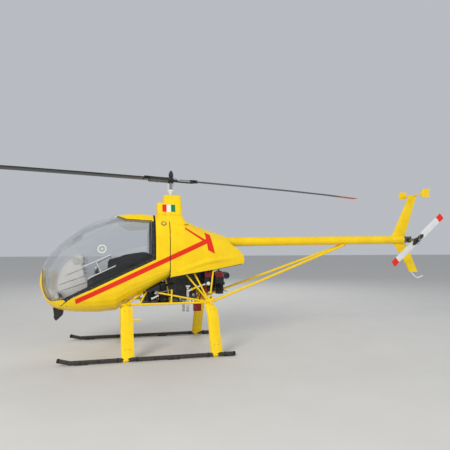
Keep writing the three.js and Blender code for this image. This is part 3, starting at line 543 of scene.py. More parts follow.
# Flattened or drawn-out balls on points, with their height along a direction
def placeBalls(tree, points, way, radius, height, segments, rings):
    sphere = addNode(tree, "GeometryNodeMeshUVSphere", {"Segments": segments, "Rings": rings, "Radius": 1.0})
    size = addNode(tree, "ShaderNodeCombineXYZ", {"X": radius, "Y": radius, "Z": height})
    shape = addNode(tree, "GeometryNodeTransform", {
        "Geometry": sphere.outputs["Mesh"], "Scale": size.outputs[0]})
    turn = addNode(tree, "FunctionNodeAlignRotationToVector", {"Vector": way}, axis="Z")
    return addNode(tree, "GeometryNodeInstanceOnPoints", {
        "Points": points, "Instance": shape.outputs[0], "Rotation": turn.outputs[0]}).outputs[0]


# Domed heads on the points of a mesh, facing along its "facing" attribute
def makeHeadTree():
    tree, entry = newTree("domed heads", "Head radius", "Head height", "Sides")
    facing = addNode(tree, "GeometryNodeInputNamedAttribute", {"Name": "facing"}, data_type="FLOAT_VECTOR")
    return endTree(tree, placeBalls(tree, entry["Geometry"], facing.outputs[0], entry["Head radius"],
                                    entry["Head height"], entry["Sides"], 6), entry)


# Weld beads laid end to end along every curve
def makeBeadTree():
    tree, entry = newTree("beads along a line", "Spacing", "Half length", "Bead radius")
    points = addNode(tree, "GeometryNodeCurveToPoints", {
        "Curve": entry["Geometry"], "Length": entry["Spacing"]}, mode="LENGTH").outputs
    return endTree(tree, placeBalls(tree, points["Points"], points["Tangent"], entry["Bead radius"],
                                    entry["Half length"], 8, 5), entry)


# A round pipe along every curve, smooth through its points
def makePipeTree():
    tree, entry = newTree("pipes", "Radius", "Sides", "Spacing")
    smooth = addNode(tree, "GeometryNodeCurveSplineType", {"Curve": entry["Geometry"]},
                     spline_type="CATMULL_ROM")
    even = addNode(tree, "GeometryNodeResampleCurve", {
        "Curve": smooth.outputs[0], "Length": entry["Spacing"]}, mode="LENGTH")
    ring = addNode(tree, "GeometryNodeCurvePrimitiveCircle", {
        "Resolution": entry["Sides"], "Radius": entry["Radius"]})
    pipe = addNode(tree, "GeometryNodeCurveToMesh", {
        "Curve": even.outputs[0], "Profile Curve": ring.outputs[0], "Fill Caps": True})
    return endTree(tree, pipe.outputs[0], entry)


headTree, beadTree, pipeTree = makeHeadTree(), makeBeadTree(), makePipeTree()


# Runs a tree on an object and keeps the result as a plain mesh piece
def grow(source, tree, values, name, look, body):
    modifier = source.modifiers.new("grow", "NODES")
    modifier.node_group = tree
    identifiers = {item.name: item.identifier for item in tree.interface.items_tree if item.in_out == "INPUT"}
    for label, value in {**values, "Finish": finishes[look]}.items():
        modifier[identifiers[label]] = value
    bpy.context.view_layer.update()
    evaluated = source.evaluated_get(bpy.context.evaluated_depsgraph_get())
    mesh = bpy.data.meshes.new_from_object(evaluated)
    mesh.name = name
    bpy.data.objects.remove(source)
    placeMesh(mesh, name, look, body)


def curvesObject(paths, name):
    data = bpy.data.curves.new(name + "_line", "CURVE")
    data.dimensions = "3D"
    for path in paths:
        spline = data.splines.new("POLY")
        spline.points.add(len(path) - 1)
        for point, place in zip(spline.points, path):
            point.co = (*place, 1)
    return addObject(name + "_line", data)


def pipes(name, look, paths, radius, sides=10, spacing=0.01, body="airframe"):
    grow(curvesObject(paths, name), pipeTree, {"Radius": radius, "Sides": sides, "Spacing": spacing},
         name, look, body)


def heads(name, look, places, radius, height, sides=12, body="airframe"):
    mesh = bpy.data.meshes.new(name + "_points")
    mesh.from_pydata([point for point, _ in places], [], [])
    facing = mesh.attributes.new("facing", "FLOAT_VECTOR", "POINT")
    for item, (_, normal) in zip(facing.data, places):
        item.vector = normal
    grow(addObject(name + "_points", mesh), headTree, {
        "Head radius": radius, "Head height": height, "Sides": sides}, name, look, body)


print("helpers ready")

# Beads and screws along the canopy's lines in side view, which are the same as the CAD's
canopyFacts = {
    "sill": [(-1.345, 0.690), (-1.295, 0.722), (-1.075, 0.833), (-0.549, 1.080), (-0.272, 1.207)],
    "chin": [(-1.610, 1.060), (-1.599, 1.050), (-1.599, 0.896), (-1.583, 0.806), (-1.544, 0.716),
             (-1.490, 0.675)],
    "roof": [(-0.700, 1.732), (-0.591, 1.690), (-0.272, 1.673)], "rear": [(-0.257, 1.24), (-0.257, 1.65)],
    "beadRadius": 0.0045, "screwRadius": 0.0042, "screwHeight": 0.0020, "screwSpacing": 0.085,
}


def shifted(line, rise, aside=0.0):
    return [(x + aside, z + rise) for x, z in line]


def makeCanopyTrim():
    sill, roof, chin = canopyFacts["sill"], canopyFacts["roof"], canopyFacts["chin"]
    lines, screws = [], []
    for side in bothSides:
        lines += [skinLine("canopy_glass", shifted(sill, 0.006), 0.02, side),
                  skinLine("canopy_roof", shifted(roof, 0.004), 0.02, side),
                  skinLine("canopy_chin", shifted(chin, 0, -0.004), 0.02, side)]
        for name, line in (("canopy_rim", shifted(sill[1:], -0.022)), ("canopy_roof", shifted(roof, 0.022)),
                           ("canopy_rim", canopyFacts["rear"])):
            screws += alongSkin(name, line, canopyFacts["screwSpacing"], side)
    pipes("canopy_beads", "rubber", lines, canopyFacts["beadRadius"], 8, body="canopy")
    heads("canopy_screws", "steel", screws, canopyFacts["screwRadius"], canopyFacts["screwHeight"], 10,
          "canopy")


# Round vent in the port glass
ventFacts = {"place": (-0.884, 1.316), "radius": 0.053, "inner": 0.043, "ribLift": 0.0045,
             "ribRadius": 0.0022}


def makeVent():
    centre, normal = onSide("canopy_glass", *ventFacts["place"])
    radius, inner = ventFacts["radius"], ventFacts["inner"]
    bm = bmesh.new()
    addHoop(bm, centre, normal, [(radius, -0.003), (radius, 0.005), (radius - 0.002, 0.007), (inner, 0.007),
                                 (inner - 0.002, 0.005), (inner - 0.002, -0.003)], 48)
    addTurned(bm, centre, normal, [(0.010, 0.001), (0.010, 0.007), (0.008, 0.009), (0.0, 0.009)])
    finishPiece(bm, "vent_ring", "white", body="canopy", slot="glazing")
    bm = bmesh.new()
    level = centre + normal * ventFacts["ribLift"]
    for turn in range(6):
        arm = Matrix.Rotation(math.radians(60 * turn), 3, normal) @ normal.cross(up).normalized()
        addRod(bm, level + arm * 0.012, level + arm * inner, ventFacts["ribRadius"], 8)
    finishPiece(bm, "vent_ribs", "clearPlastic", body="canopy")


# Sliding window, pushed forward in its rails
windowFacts = {
    "rails": [[(-1.110, 1.101), (-0.779, 1.245)], [(-1.048, 0.958), (-0.721, 1.111)]],
    "railWidth": 0.011, "railHeight": 0.010, "edgeWidth": 0.006, "edgeHeight": 0.003,
    "opening": [(-0.937, 1.139), (-0.790, 1.225), (-0.754, 1.112), (-0.893, 1.043)], "openingScale": 1.05,
    "pane": [(-1.096, 1.086), (-0.950, 1.152), (-0.897, 1.038), (-1.043, 0.972)], "paneCounts": (8, 6),
    "paneLifts": (0.0035, 0.0065), "grip": (-0.955, 1.085), "gripLift": 0.006,
}


def makeWindow():
    bm = bmesh.new()
    for line in windowFacts["rails"]:
        addStrip(bm, "canopy_glass", line, windowFacts["railWidth"], windowFacts["railHeight"])
    finishPiece(bm, "window_rails", "paleTrim", 0.0015, body="canopy")
    bm = bmesh.new()
    corners = [Vector(corner) for corner in windowFacts["opening"]]
    middle = sum(corners, Vector((0, 0))) / 4
    grown = [tuple(middle.lerp(corner, windowFacts["openingScale"])) for corner in corners]
    for first, second in ((0, 3), (1, 2), (0, 1), (3, 2)):
        addStrip(bm, "canopy_glass", [grown[first], grown[second]], windowFacts["edgeWidth"],
                 windowFacts["edgeHeight"])
    finishPiece(bm, "window_edges", "trimBlack", body="canopy")
    bm = bmesh.new()
    across, along = windowFacts["paneCounts"]
    start, second, third, last = (Vector(corner) for corner in windowFacts["pane"])
    edges = [(start.lerp(last, j / along), second.lerp(third, j / along)) for j in range(along + 1)]
    rows = [[left.lerp(right, i / across) for i in range(across + 1)] for left, right in edges]
    addSheet(bm, *([[onSide("canopy_glass", *place, -1, lift)[0] for place in row] for row in rows]
                   for lift in windowFacts["paneLifts"]))
    finishPiece(bm, "window_pane", "glass", body="canopy")
    bm = bmesh.new()
    addStrip(bm, "canopy_glass", windowFacts["pane"][1:3], 0.009, 0.009)
    grip, normal = onSide("canopy_glass", *windowFacts["grip"], -1, windowFacts["gripLift"])
    addTurned(bm, grip, normal, [(0.011, 0), (0.011, 0.006), (0.008, 0.010), (0, 0.011)], 20)
    finishPiece(bm, "window_grip", "paleTrim", 0.001, body="canopy")


makeCanopyTrim()
makeVent()
makeWindow()
print("canopy trim made")

# Instrument console: seams and vents on its flanks, dials, radio and switches on its aft faces
consoleFacts = {
    "half": 0.110, "seamLift": 0.0004, "vent": (-1.200, 1.160), "ventRadius": 0.040,
    "seams": [[(-1.318, 0.987), (-1.128, 1.066)], [(-1.404, 0.868), (-1.104, 0.972)],
              [(-1.357, 0.800), (-1.075, 0.893)]],
    "corner": (-1.132, 0, 1.089), "top": (-1.124, 0, 1.215), "foot": (-1.100, 0, 0.960),
    "dialRadius": 0.027, "dialRises": (0.097, 0.033), "dialYs": (-0.070, 0.0, 0.070),
    "radios": [(0.018, 0.042), (0.070, 0.048)], "knobYs": (-0.064, -0.048, 0.048, 0.064),
}


def makeConsoleFlanks():
    half, radius = consoleFacts["half"], consoleFacts["ventRadius"]
    seams, vents, gapsAndShade = bmesh.new(), bmesh.new(), bmesh.new()
    for side in bothSides:
        out = starboard * side
        for line in consoleFacts["seams"]:
            path = [spot(x, side * (half + consoleFacts["seamLift"]), z) for x, z in line]
            addSweep(seams, path, out, bar(0.006, -0.001, 0.001))
        centre = spot(consoleFacts["vent"][0], side * half, consoleFacts["vent"][1])
        # Two dark rings: the outer one is the gap round the vent, the inner one is painted shade in the
        # vent's hollow
        for outer in (radius + 0.003, radius - 0.0135):
            addHoop(gapsAndShade, centre, out, [(outer, -0.001), (outer, 0.0032), (outer - 0.004, 0.0032),
                                        (outer - 0.004, -0.001)], 36)
        addTurned(vents, centre, out, [
            (radius, 0), (radius, 0.006), (radius - 0.004, 0.010), (radius - 0.012, 0.008),
            (radius - 0.014, 0.003), (0.010, 0.003), (0.008, 0.007), (0, 0.008)], 36)
    finishPiece(seams, "console_seams", "seamShadow")
    finishPiece(vents, "console_vents", "white", slot="grey_plastic")
    finishPiece(gapsAndShade, "console_vent_gaps_and_shade", "seamShadow")


def makeDials():
    corner, size = spot(*consoleFacts["corner"]), consoleFacts["dialRadius"]
    along = (spot(*consoleFacts["top"]) - corner).normalized()
    facing = starboard.cross(along).normalized()

    def rayAt(degrees):
        return along * math.cos(math.radians(degrees)) + starboard * math.sin(math.radians(degrees))

    bezels, faces, marks = bmesh.new(), bmesh.new(), bmesh.new()
    for row, rise in enumerate(consoleFacts["dialRises"]):
        for column, y in enumerate(consoleFacts["dialYs"]):
            centre = corner + along * rise + starboard * y
            addTurned(bezels, centre, facing, [(size, -0.002), (size, 0.006), (size - 0.003, 0.008),
                                               (size - 0.005, 0.006), (size - 0.005, 0.001)], 32)
            addTurned(faces, centre, facing, disc(size - 0.005, 0.002), 32)
            for tick in range(11):
                ray, level = rayAt(27 * tick - 135), centre + facing * 0.0023
                addRod(marks, level + ray * (size - 0.010), level + ray * (size - 0.006), 0.0006, 4)
            ray, level = rayAt(57 * column + 95 * row - 110), centre + facing * 0.003
            addRod(marks, level - ray * 0.004, level + ray * (size - 0.009), 0.0011, 6)
    finishPiece(bezels, "dial_bezels", "blackPaint")
    finishPiece(faces, "dial_faces", "dialFace")
    finishPiece(marks, "dial_marks", "white")


def makeRadio():
    corner = spot(*consoleFacts["corner"])
    down = (spot(*consoleFacts["foot"]) - corner).normalized()
    out = -starboard.cross(down).normalized()
    radio, knobs = bmesh.new(), bmesh.new()
    for drop, height in consoleFacts["radios"]:
        addPlate(radio, corner + down * drop - out * 0.003, starboard, down, bar(0.156, 0, height), -0.010)
    finishPiece(radio, "radio_stack", "blackPaint", 0.002)
    for y in consoleFacts["knobYs"]:
        addTurned(knobs, corner + down * 0.039 + starboard * y, out, [
            (0.006, 0), (0.006, 0.018), (0.005, 0.020), (0, 0.020)], 16)
    for k in range(8):
        base = corner + down * 0.094 + starboard * (-0.060 + 0.017 * k)
        tip = base + out * 0.024 + down * (0.004 if k % 2 else -0.004)
        addTurned(knobs, base, out, [(0.0035, 0), (0.0035, 0.008)], 10)
        addRod(knobs, base + out * 0.007, tip, 0.0018, 8, 0.0024)
    finishPiece(knobs, "console_knobs", "steel")


makeConsoleFlanks()
makeDials()
makeRadio()

# Pedals, collective lever, and the stick's grip, boot and buttons
controlFacts = {
    "pedalYs": (-0.195, -0.150, 0.150, 0.195), "pedalTop": (-1.392, 0.765), "pedalFoot": (-1.307, 0.616),
    "gripRings": [(0.975, 0.019), (1.000, 0.021), (1.025, 0.019), (1.050, 0.021)],
    "buttons": [(-0.954, -0.006, 0.004), (-0.946, 0.006, 0.0035)], "buttonZ": 1.076,
    "grips": [
        ("rod", (-0.600, -0.235, 0.880), (-0.850, -0.240, 0.985), 0.011, 14),
        ("rod", (-0.840, -0.240, 0.981), (-0.950, -0.241, 1.026), 0.018, 20, 0.016),
        ("turn", (-0.948, -0.241, 1.025), (-1, 0, 0.4),
         [(0.021, 0), (0.023, 0.012), (0.017, 0.026), (0, 0.030)], 20),
        ("rod", (-0.600, -0.255, 0.872), (-0.600, -0.205, 0.872), 0.020, 20)],
    "boot": [(0.050, -0.02), (0.050, 0), (0.036, 0.008), (0.042, 0.016), (0.030, 0.024), (0.036, 0.032),
             (0.024, 0.040), (0.029, 0.048), (0.017, 0.056), (0.012, 0.060)],
}


def makeControls():
    pedals = bmesh.new()
    (topX, topZ), (footX, footZ) = controlFacts["pedalTop"], controlFacts["pedalFoot"]
    for y in controlFacts["pedalYs"]:
        top = spot(topX, y, topZ)
        addRod(pedals, spot(footX, y, footZ), top, 0.007)
        addPlate(pedals, top - up * 0.035 - aft * 0.004, starboard, (up * 0.9 - aft * 0.3).normalized(),
                 bar(0.034, -0.02, 0.06), 0.006)
    for side in bothSides:
        addRod(pedals, spot(footX, side * 0.130, footZ), spot(footX, side * 0.215, footZ), 0.009)
    finishPiece(pedals, "pedals", "blackPaint", 0.0012)
    rings = [("turn", (-0.968 + (height - 0.965) * 0.163, 0, height), up,
              [(radius, -0.011), (radius + 0.0015, 0), (radius, 0.011)], 20)
             for height, radius in controlFacts["gripRings"]]
    makePiece("hand_grips", "rubber", controlFacts["grips"] + rings)
    makePiece("stick_boot", "rubber", [("turn", (-0.978, 0, 0.640), (-0.15, 0, 1), controlFacts["boot"], 28)])
    makePiece("stick_buttons", "red", [
        ("turn", (x, y, controlFacts["buttonZ"]), up, [(size, -0.003), (size, 0.003), (0, 0.004)], 12)
        for x, y, size in controlFacts["buttons"]])


makeControls()

# Dark pads along the cabin walls, the wall behind the rear seat and the seal on the arch
cabinFacts = {
    "pad": [(-0.815, 1.164), (-0.749, 1.188), (-0.685, 1.201), (-0.608, 1.232), (-0.489, 1.252),
            (-0.343, 1.273), (-0.280, 1.241), (-0.280, 1.020), (-0.500, 0.960), (-0.815, 0.860),
            (-1.060, 0.800), (-1.060, 0.930), (-0.822, 1.042)],
    "padY": 0.278, "padThickness": 0.026, "sealTop": 1.7635, "sealWide": 1.178, "sealHalf": 0.352,
    "sealPower": 2.9, "sealCorners": [(-0.2362, 0.0015), (-0.2262, 0.0015), (-0.2262, 0.0140),
                                      (-0.2362, 0.0140)], "sealCount": 72,
    "bulkheadXs": (-0.080, -0.075), "bulkheadZ": 1.250, "bulkheadGap": 0.003, "bulkheadCount": 60,
    "bulkheadFar": 0.520, "bulkheadMissing": 0.280,
}


# The wall's rim follows the inside of the shell
def makeBulkhead():
    rings = []
    for x in cabinFacts["bulkheadXs"]:
        middle = spot(x, 0, cabinFacts["bulkheadZ"])
        ring = []
        for across, rise in turns(cabinFacts["bulkheadCount"]):
            ray = Vector((0, across, rise))
            hits = [skinOf(name).ray_cast(middle, ray)[3] for name in ("hull", "mast_pylon", "engine_cowl")]
            reach = min([hit for hit in hits if hit is not None] or [cabinFacts["bulkheadMissing"]])
            ring.append(middle + ray * (min(reach, cabinFacts["bulkheadFar"]) - cabinFacts["bulkheadGap"]))
        rings.append((ring, [middle]))
    bm = bmesh.new()
    loft(bm, [rings[0][1], rings[0][0], rings[1][0], rings[1][1]])
    finishPiece(bm, "cabin_bulkhead", "lining")


# One edge of the seal along the arch, drawn in from the hull by a depth
def archLine(x, depth):
    wide, count, power = cabinFacts["sealWide"], cabinFacts["sealCount"], 2 / cabinFacts["sealPower"]
    half, rise = cabinFacts["sealHalf"] - depth, cabinFacts["sealTop"] - depth - wide
    line = []
    for k in range(count + 1):
        across, height = math.cos(math.pi * k / count), math.sin(math.pi * k / count)
        line.append(spot(x, math.copysign(abs(across) ** power, across) * half,
                         wide + rise * max(height, 0) ** power))
    return line


def makeCabinLining():
    pads, seal = bmesh.new(), bmesh.new()
    for side in bothSides:
        addPlate(pads, spot(0, side * cabinFacts["padY"], 0), aft, up, cabinFacts["pad"],
                 -side * cabinFacts["padThickness"])
    finishPiece(pads, "side_pads", "lining", 0.006)
    loft(seal, zip(*(archLine(x, depth) for x, depth in cabinFacts["sealCorners"])))
    finishPiece(seal, "arch_seal", "rubber")


makeBulkhead()
makeCabinLining()
print("cockpit made")

# Padded seats: each cushion starts as a plain solid, swells as cloth and gets its channels afterwards
cushionFacts = {
    "voxel": 0.0075, "pressure": 4.0, "frames": 20, "cap": 0.011, "channelDepth": 0.0035,
    "channelWidth": 0.007, "tension": 25, "compression": 20, "round": 0.012,
    "front_seat_base": {"half": 0.178, "channels": (-0.105, -0.035, 0.035, 0.105), "fill": 0.7,
                        "line": [(-0.895, 0.868), (-0.625, 0.892), (-0.655, 0.932), (-0.885, 0.914)]},
    "front_seat_back": {"half": 0.172, "channels": (-0.105, -0.035, 0.035, 0.105), "fill": 0.65,
                        "line": [(-0.603, 0.968), (-0.556, 0.958), (-0.478, 1.228), (-0.484, 1.252),
                                 (-0.506, 1.254), (-0.528, 1.232)]},
    "rear_seat_base": {"half": 0.185, "channels": (-0.110, -0.037, 0.037, 0.110), "fill": 0.7,
                       "line": [(-0.374, 1.009), (-0.205, 1.021), (-0.212, 1.056), (-0.372, 1.058)]},
    "rear_seat_back": {"half": 0.185, "channels": (-0.110, -0.037, 0.037, 0.110), "fill": 0.65,
                       "line": [(-0.184, 1.085), (-0.128, 1.070), (-0.108, 1.424), (-0.146, 1.432),
                                (-0.176, 1.150)]},
}


def cushionBlank(name, facts):
    bm = bmesh.new()
    loft(bm, [[spot(0, y, 0) + aft * x + up * z for x, z in facts["line"]]
              for y in (-facts["half"], facts["half"])])
    bmesh.ops.recalc_face_normals(bm, faces=bm.faces)
    bmesh.ops.bevel(bm, geom=list(bm.edges), offset=cushionFacts["round"], segments=3, profile=0.6,
                    affect="EDGES", clamp_overlap=True)
    mesh = bpy.data.meshes.new(name)
    bm.to_mesh(mesh)
    bm.free()
    return addObject(name, mesh)


# Puts one modifier on a piece and keeps its result
def reshape(piece, kind, **settings):
    modifier = piece.modifiers.new("shape", kind)
    for key, value in settings.items():
        setattr(modifier, key, value)
    mesh = bpy.data.meshes.new_from_object(piece.evaluated_get(bpy.context.evaluated_depsgraph_get()))
    piece.modifiers.clear()
    piece.data = mesh


def inflate(piece):
    scene = bpy.context.scene
    before = [v.co.copy() for v in piece.data.vertices]
    cloth = piece.modifiers.new("padding", "CLOTH")
    cloth.settings.use_pressure = True
    cloth.settings.uniform_pressure_force = cushionFacts["pressure"]
    cloth.settings.effector_weights.gravity = 0
    cloth.settings.tension_stiffness = cushionFacts["tension"]
    cloth.settings.compression_stiffness = cushionFacts["compression"]
    cloth.point_cache.frame_end = cushionFacts["frames"]
    for step in range(1, cushionFacts["frames"] + 1):
        scene.frame_set(step)
    evaluated = piece.evaluated_get(bpy.context.evaluated_depsgraph_get())
    moved = [v.co.copy() for v in evaluated.data.vertices]
    piece.modifiers.remove(cloth)
    scene.frame_set(1)
    for vert, old, new in zip(piece.data.vertices, before, moved):
        shift = new - old
        if shift.length > cushionFacts["cap"]:
            shift *= cushionFacts["cap"] / shift.length
        vert.co = old + shift


# Sewn channels: lines along the cushion where the padding is drawn in
def sewChannels(mesh, channels):
    mesh.update()
    normals = [v.normal.copy() for v in mesh.vertices]
    for vert, normal in zip(mesh.vertices, normals):
        near = min(abs(vert.co.y - y) for y in channels)
        if abs(normal.y) < 0.5:
            pull = math.exp(-(near / cushionFacts["channelWidth"]) ** 2)
            vert.co -= normal * cushionFacts["channelDepth"] * pull


def makeCushion(name):
    facts = cushionFacts[name]
    piece = cushionBlank(name, facts)
    reshape(piece, "REMESH", mode="VOXEL", voxel_size=cushionFacts["voxel"])
    inflate(piece)
    reshape(piece, "SUBSURF", levels=1, render_levels=1)
    sewChannels(piece.data, facts["channels"])
    piece.data.materials.clear()
    piece.data.materials.append(finishes["seatCloth"])
    piece.data.shade_smooth()
    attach(piece, "airframe")
    if name.endswith("_base"):
        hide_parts(name.replace("_base", ""))
    return treeOf(piece.data)


cushions = {name: makeCushion(name)
            for name in ("front_seat_base", "front_seat_back", "rear_seat_base", "rear_seat_back")}
print("cushions made")

# Harness: two shoulder straps and a lap belt on each seat, laid on the cushions
harnessFacts = {
    "front": {"topZ": 1.235, "lowZ": 1.000, "lapX": -0.685, "behindX": -0.470},
    "rear": {"topZ": 1.405, "lowZ": 1.110, "lapX": -0.245, "behindX": -0.095},
    "width": 0.044, "thickness": 0.0022, "shoulderY": 0.075,
}


def touch(tree, start, way, lift=0.003):
    point, normal, _, _ = tree.ray_cast(start, way)
    return point + normal * lift, normal


def makeHarness(row):
    facts, shoulder = harnessFacts[row], harnessFacts["shoulderY"]
    outline = bar(harnessFacts["width"], -harnessFacts["thickness"] / 2, harnessFacts["thickness"] / 2)
    straps, metal = bmesh.new(), bmesh.new()
    back, base = cushions[row + "_seat_back"], cushions[row + "_seat_base"]
    for side in bothSides:
        places = []
        for share in (k / 13 for k in range(14)):
            z = facts["topZ"] + (facts["lowZ"] - facts["topZ"]) * share
            places.append(touch(back, spot(-1.2, side * (shoulder - 0.035 * share), z), aft))
        low = touch(base, spot(facts["lapX"], side * 0.030, 1.5), -up, 0.012)[0]
        over = spot(facts["behindX"], side * shoulder, facts["topZ"] + 0.014)
        path = [point for point, _ in places]
        top = path[0] + Vector((0.012, 0, 0.024))
        addSweep(straps, [over, top, *path, low], [up, Vector((-0.3, 0, 0.95)), *(n for _, n in places),
                                                   Vector((-0.6, 0, 0.8))], outline)
        addPlate(metal, path[5] - Vector((0.003, 0.027, 0)), starboard, (path[6] - path[5]).normalized(),
                 rectangle(0.054, 0.022), -0.004)
        lap, hints = [], []
        for share in (k / 8 for k in range(9)):
            y = side * (0.165 * (1 - share) + 0.025 * share)
            point, normal = touch(base, spot(facts["lapX"] - 0.035 * share, y, 1.5), -up)
            lap.append(point + up * 0.010 * share)
            hints.append(normal)
        addSweep(straps, lap, hints, outline)
    buckle = touch(base, spot(facts["lapX"] - 0.035, 0, 1.5), -up, 0.012)[0]
    addPlate(metal, buckle - Vector((0.028, 0.032, 0)), aft, starboard, rectangle(0.056, 0.064), 0.013)
    finishPiece(straps, row + "_harness", "webbing", 0.0006, 1)
    finishPiece(metal, row + "_buckles", "steel", 0.002)


makeHarness("front")
makeHarness("rear")
print("harness made")

# Shell fittings: filler caps, cowl latches, fasteners, seams and the cowl's lower edge
shellFacts = {
    "cap": (-0.121, 1.643), "capRadius": 0.034, "latches": [(0.040, 1.284), (0.040, 1.520), (0.040, 1.020)],
    "latchOutline": [(0, 0), (0.040, 0), (0.044, 0.008), (0.040, 0.016), (0, 0.016), (-0.004, 0.008)],
    "fastenerRadius": 0.0042, "fastenerHeight": 0.0016,
    "fasteners": [("engine_cowl", [(0.090, 0.992), (0.520, 1.056), (0.920, 1.125)], 0.095),
                  ("engine_cowl", [(-0.022, 0.990), (-0.022, 1.640)], 0.095),
                  ("engine_cowl", [(0.940, 1.130), (0.940, 1.225), (0.890, 1.285), (0.785, 1.365)], 0.095),
                  ("hull", [(-0.082, 1.010), (-0.082, 1.640)], 0.105)],
    "cowlSeam": [(-0.0458, 0.962), (-0.0458, 1.690)],
    "chinSeam": [(-1.452, 0.560), (-1.412, 0.580), (-1.332, 0.652), (-1.300, 0.674)],
    "cowlEdge": [(-0.040, 0.952), (0.207, 0.994), (0.538, 1.041), (0.940, 1.110)],
    "pylonSeamZ": 1.760, "mastCollarZ": 2.028, "collarBoltRadius": 0.0415, "collarBoltZ": 2.0318,
}


def makeShellFittings():
    radius = shellFacts["capRadius"]
    rings, caps, latches, seams, screws = bmesh.new(), bmesh.new(), bmesh.new(), bmesh.new(), []
    for side in bothSides:
        point, normal = onSide("hull", *shellFacts["cap"], side)
        addTurned(rings, point, normal, [(radius, -0.003), (radius, 0.003), (radius - 0.003, 0.005),
                                         (radius - 0.012, 0.004), (radius - 0.013, 0.001)], 32)
        addTurned(caps, point, normal, [(radius - 0.013, -0.002), (radius - 0.013, 0.003),
                                        (radius - 0.016, 0.004), (0, 0.004)], 28)
        for place in shellFacts["latches"]:
            point, normal = onSide("engine_cowl", *place, side)
            across = normal.cross(up).normalized()
            rise = across.cross(normal).normalized()
            addPlate(latches, point - normal * 0.001 - across * 0.020 - rise * 0.008, across, rise,
                     shellFacts["latchOutline"], 0.005)
            addTurned(latches, point, normal, [(0.006, 0), (0.006, 0.008), (0.0045, 0.010), (0, 0.010)], 16)
        for name, line, spacing in shellFacts["fasteners"]:
            screws += alongSkin(name, line, spacing, side)
        addStrip(seams, "engine_cowl", shellFacts["cowlSeam"], 0.0075, 0.0006, 0.03, side)
        addStrip(seams, "hull", shellFacts["chinSeam"], 0.0085, 0.0006, 0.02, side)
    finishPiece(rings, "filler_rings", "bronze")
    finishPiece(caps, "filler_caps", "plain")
    finishPiece(latches, "cowl_latches", "plain", 0.0012)
    heads("shell_fasteners", "plain", screws, shellFacts["fastenerRadius"], shellFacts["fastenerHeight"])
    finishPiece(seams, "panel_seams", "seamShadow", slot="black_rubber")
    edges = [skinLine("engine_cowl", shellFacts["cowlEdge"], 0.03, side, 0.0005) for side in bothSides]
    pipes("cowl_edge_trim", "rubber", edges, 0.0032, 8, 0.015)


def makePylonFittings():
    seam, screws, level = bmesh.new(), [], shellFacts["pylonSeamZ"]
    for side in bothSides:
        addStrip(seam, "mast_pylon", [(-0.180, level), (0.120, level)], 0.0035, 0.0004, 0.012, side)
        screws += alongSkin("mast_pylon", [(-0.165, level + 0.022), (0.105, level + 0.022)], 0.068, side)
        screws += alongSkin("mast_pylon", [(-0.085, 1.985), (0.095, 1.985)], 0.090, side)
    finishPiece(seam, "pylon_seam", "seamShade")
    heads("pylon_fasteners", "steel", screws, 0.0048, 0.002)
    makePiece("mast_collar", "darkAlloy", [
        ("hoop", (0, 0, shellFacts["mastCollarZ"]), up,
         [(0.052, -0.002), (0.052, 0.001), (0.047, 0.004), (0.034, 0.004), (0.034, -0.002)], 36)])
    reach = shellFacts["collarBoltRadius"]
    bolts = [(spot(reach * a, reach * b, shellFacts["collarBoltZ"]), up) for a, b in turns(8)]
    heads("collar_bolts", "steel", bolts, 0.0035, 0.0025, 6)


# Slanting ridge pressed into each side of the cowl, which dies away at its ends
ridgeFacts = {
    "line": [(0.040, 1.022), (0.120, 1.049), (0.289, 1.102), (0.435, 1.146), (0.538, 1.163), (0.691, 1.182),
             (0.846, 1.202), (0.900, 1.208)],
    "halfWidth": 0.056, "height": 0.015, "edge": -0.0008, "back": -0.003, "step": 0.022, "across": 12,
}


def makeCowlRidge():
    bm, stops, line = bmesh.new(), [], [Vector(corner) for corner in ridgeFacts["line"]]
    for first, second in zip(line, line[1:]):
        count = max(1, round((second.x - first.x) / ridgeFacts["step"]))
        stops += [first.lerp(second, k / count) for k in range(count)]
    stops.append(line[-1])
    shares = [2 * k / ridgeFacts["across"] - 1 for k in range(ridgeFacts["across"] + 1)]
    for side in bothSides:
        low, high = [], []
        for number, stop in enumerate(stops):
            swell = ridgeFacts["height"] * math.sin(math.pi * number / (len(stops) - 1)) ** 0.7
            places = [(stop.x, stop.y + share * ridgeFacts["halfWidth"], side) for share in shares]
            lifts = [ridgeFacts["edge"] + swell * (0.5 + 0.5 * math.cos(math.pi * share)) ** 1.4
                     for share in shares]
            low.append([onSide("engine_cowl", *place, ridgeFacts["back"])[0] for place in places])
            high.append([onSide("engine_cowl", *place, lift)[0] for place, lift in zip(places, lifts)])
        addSheet(bm, low, high)
    finishPiece(bm, "cowl_ridge", "cowl")


makeShellFittings()
makePylonFittings()
makeCowlRidge()
print("shell fittings made")

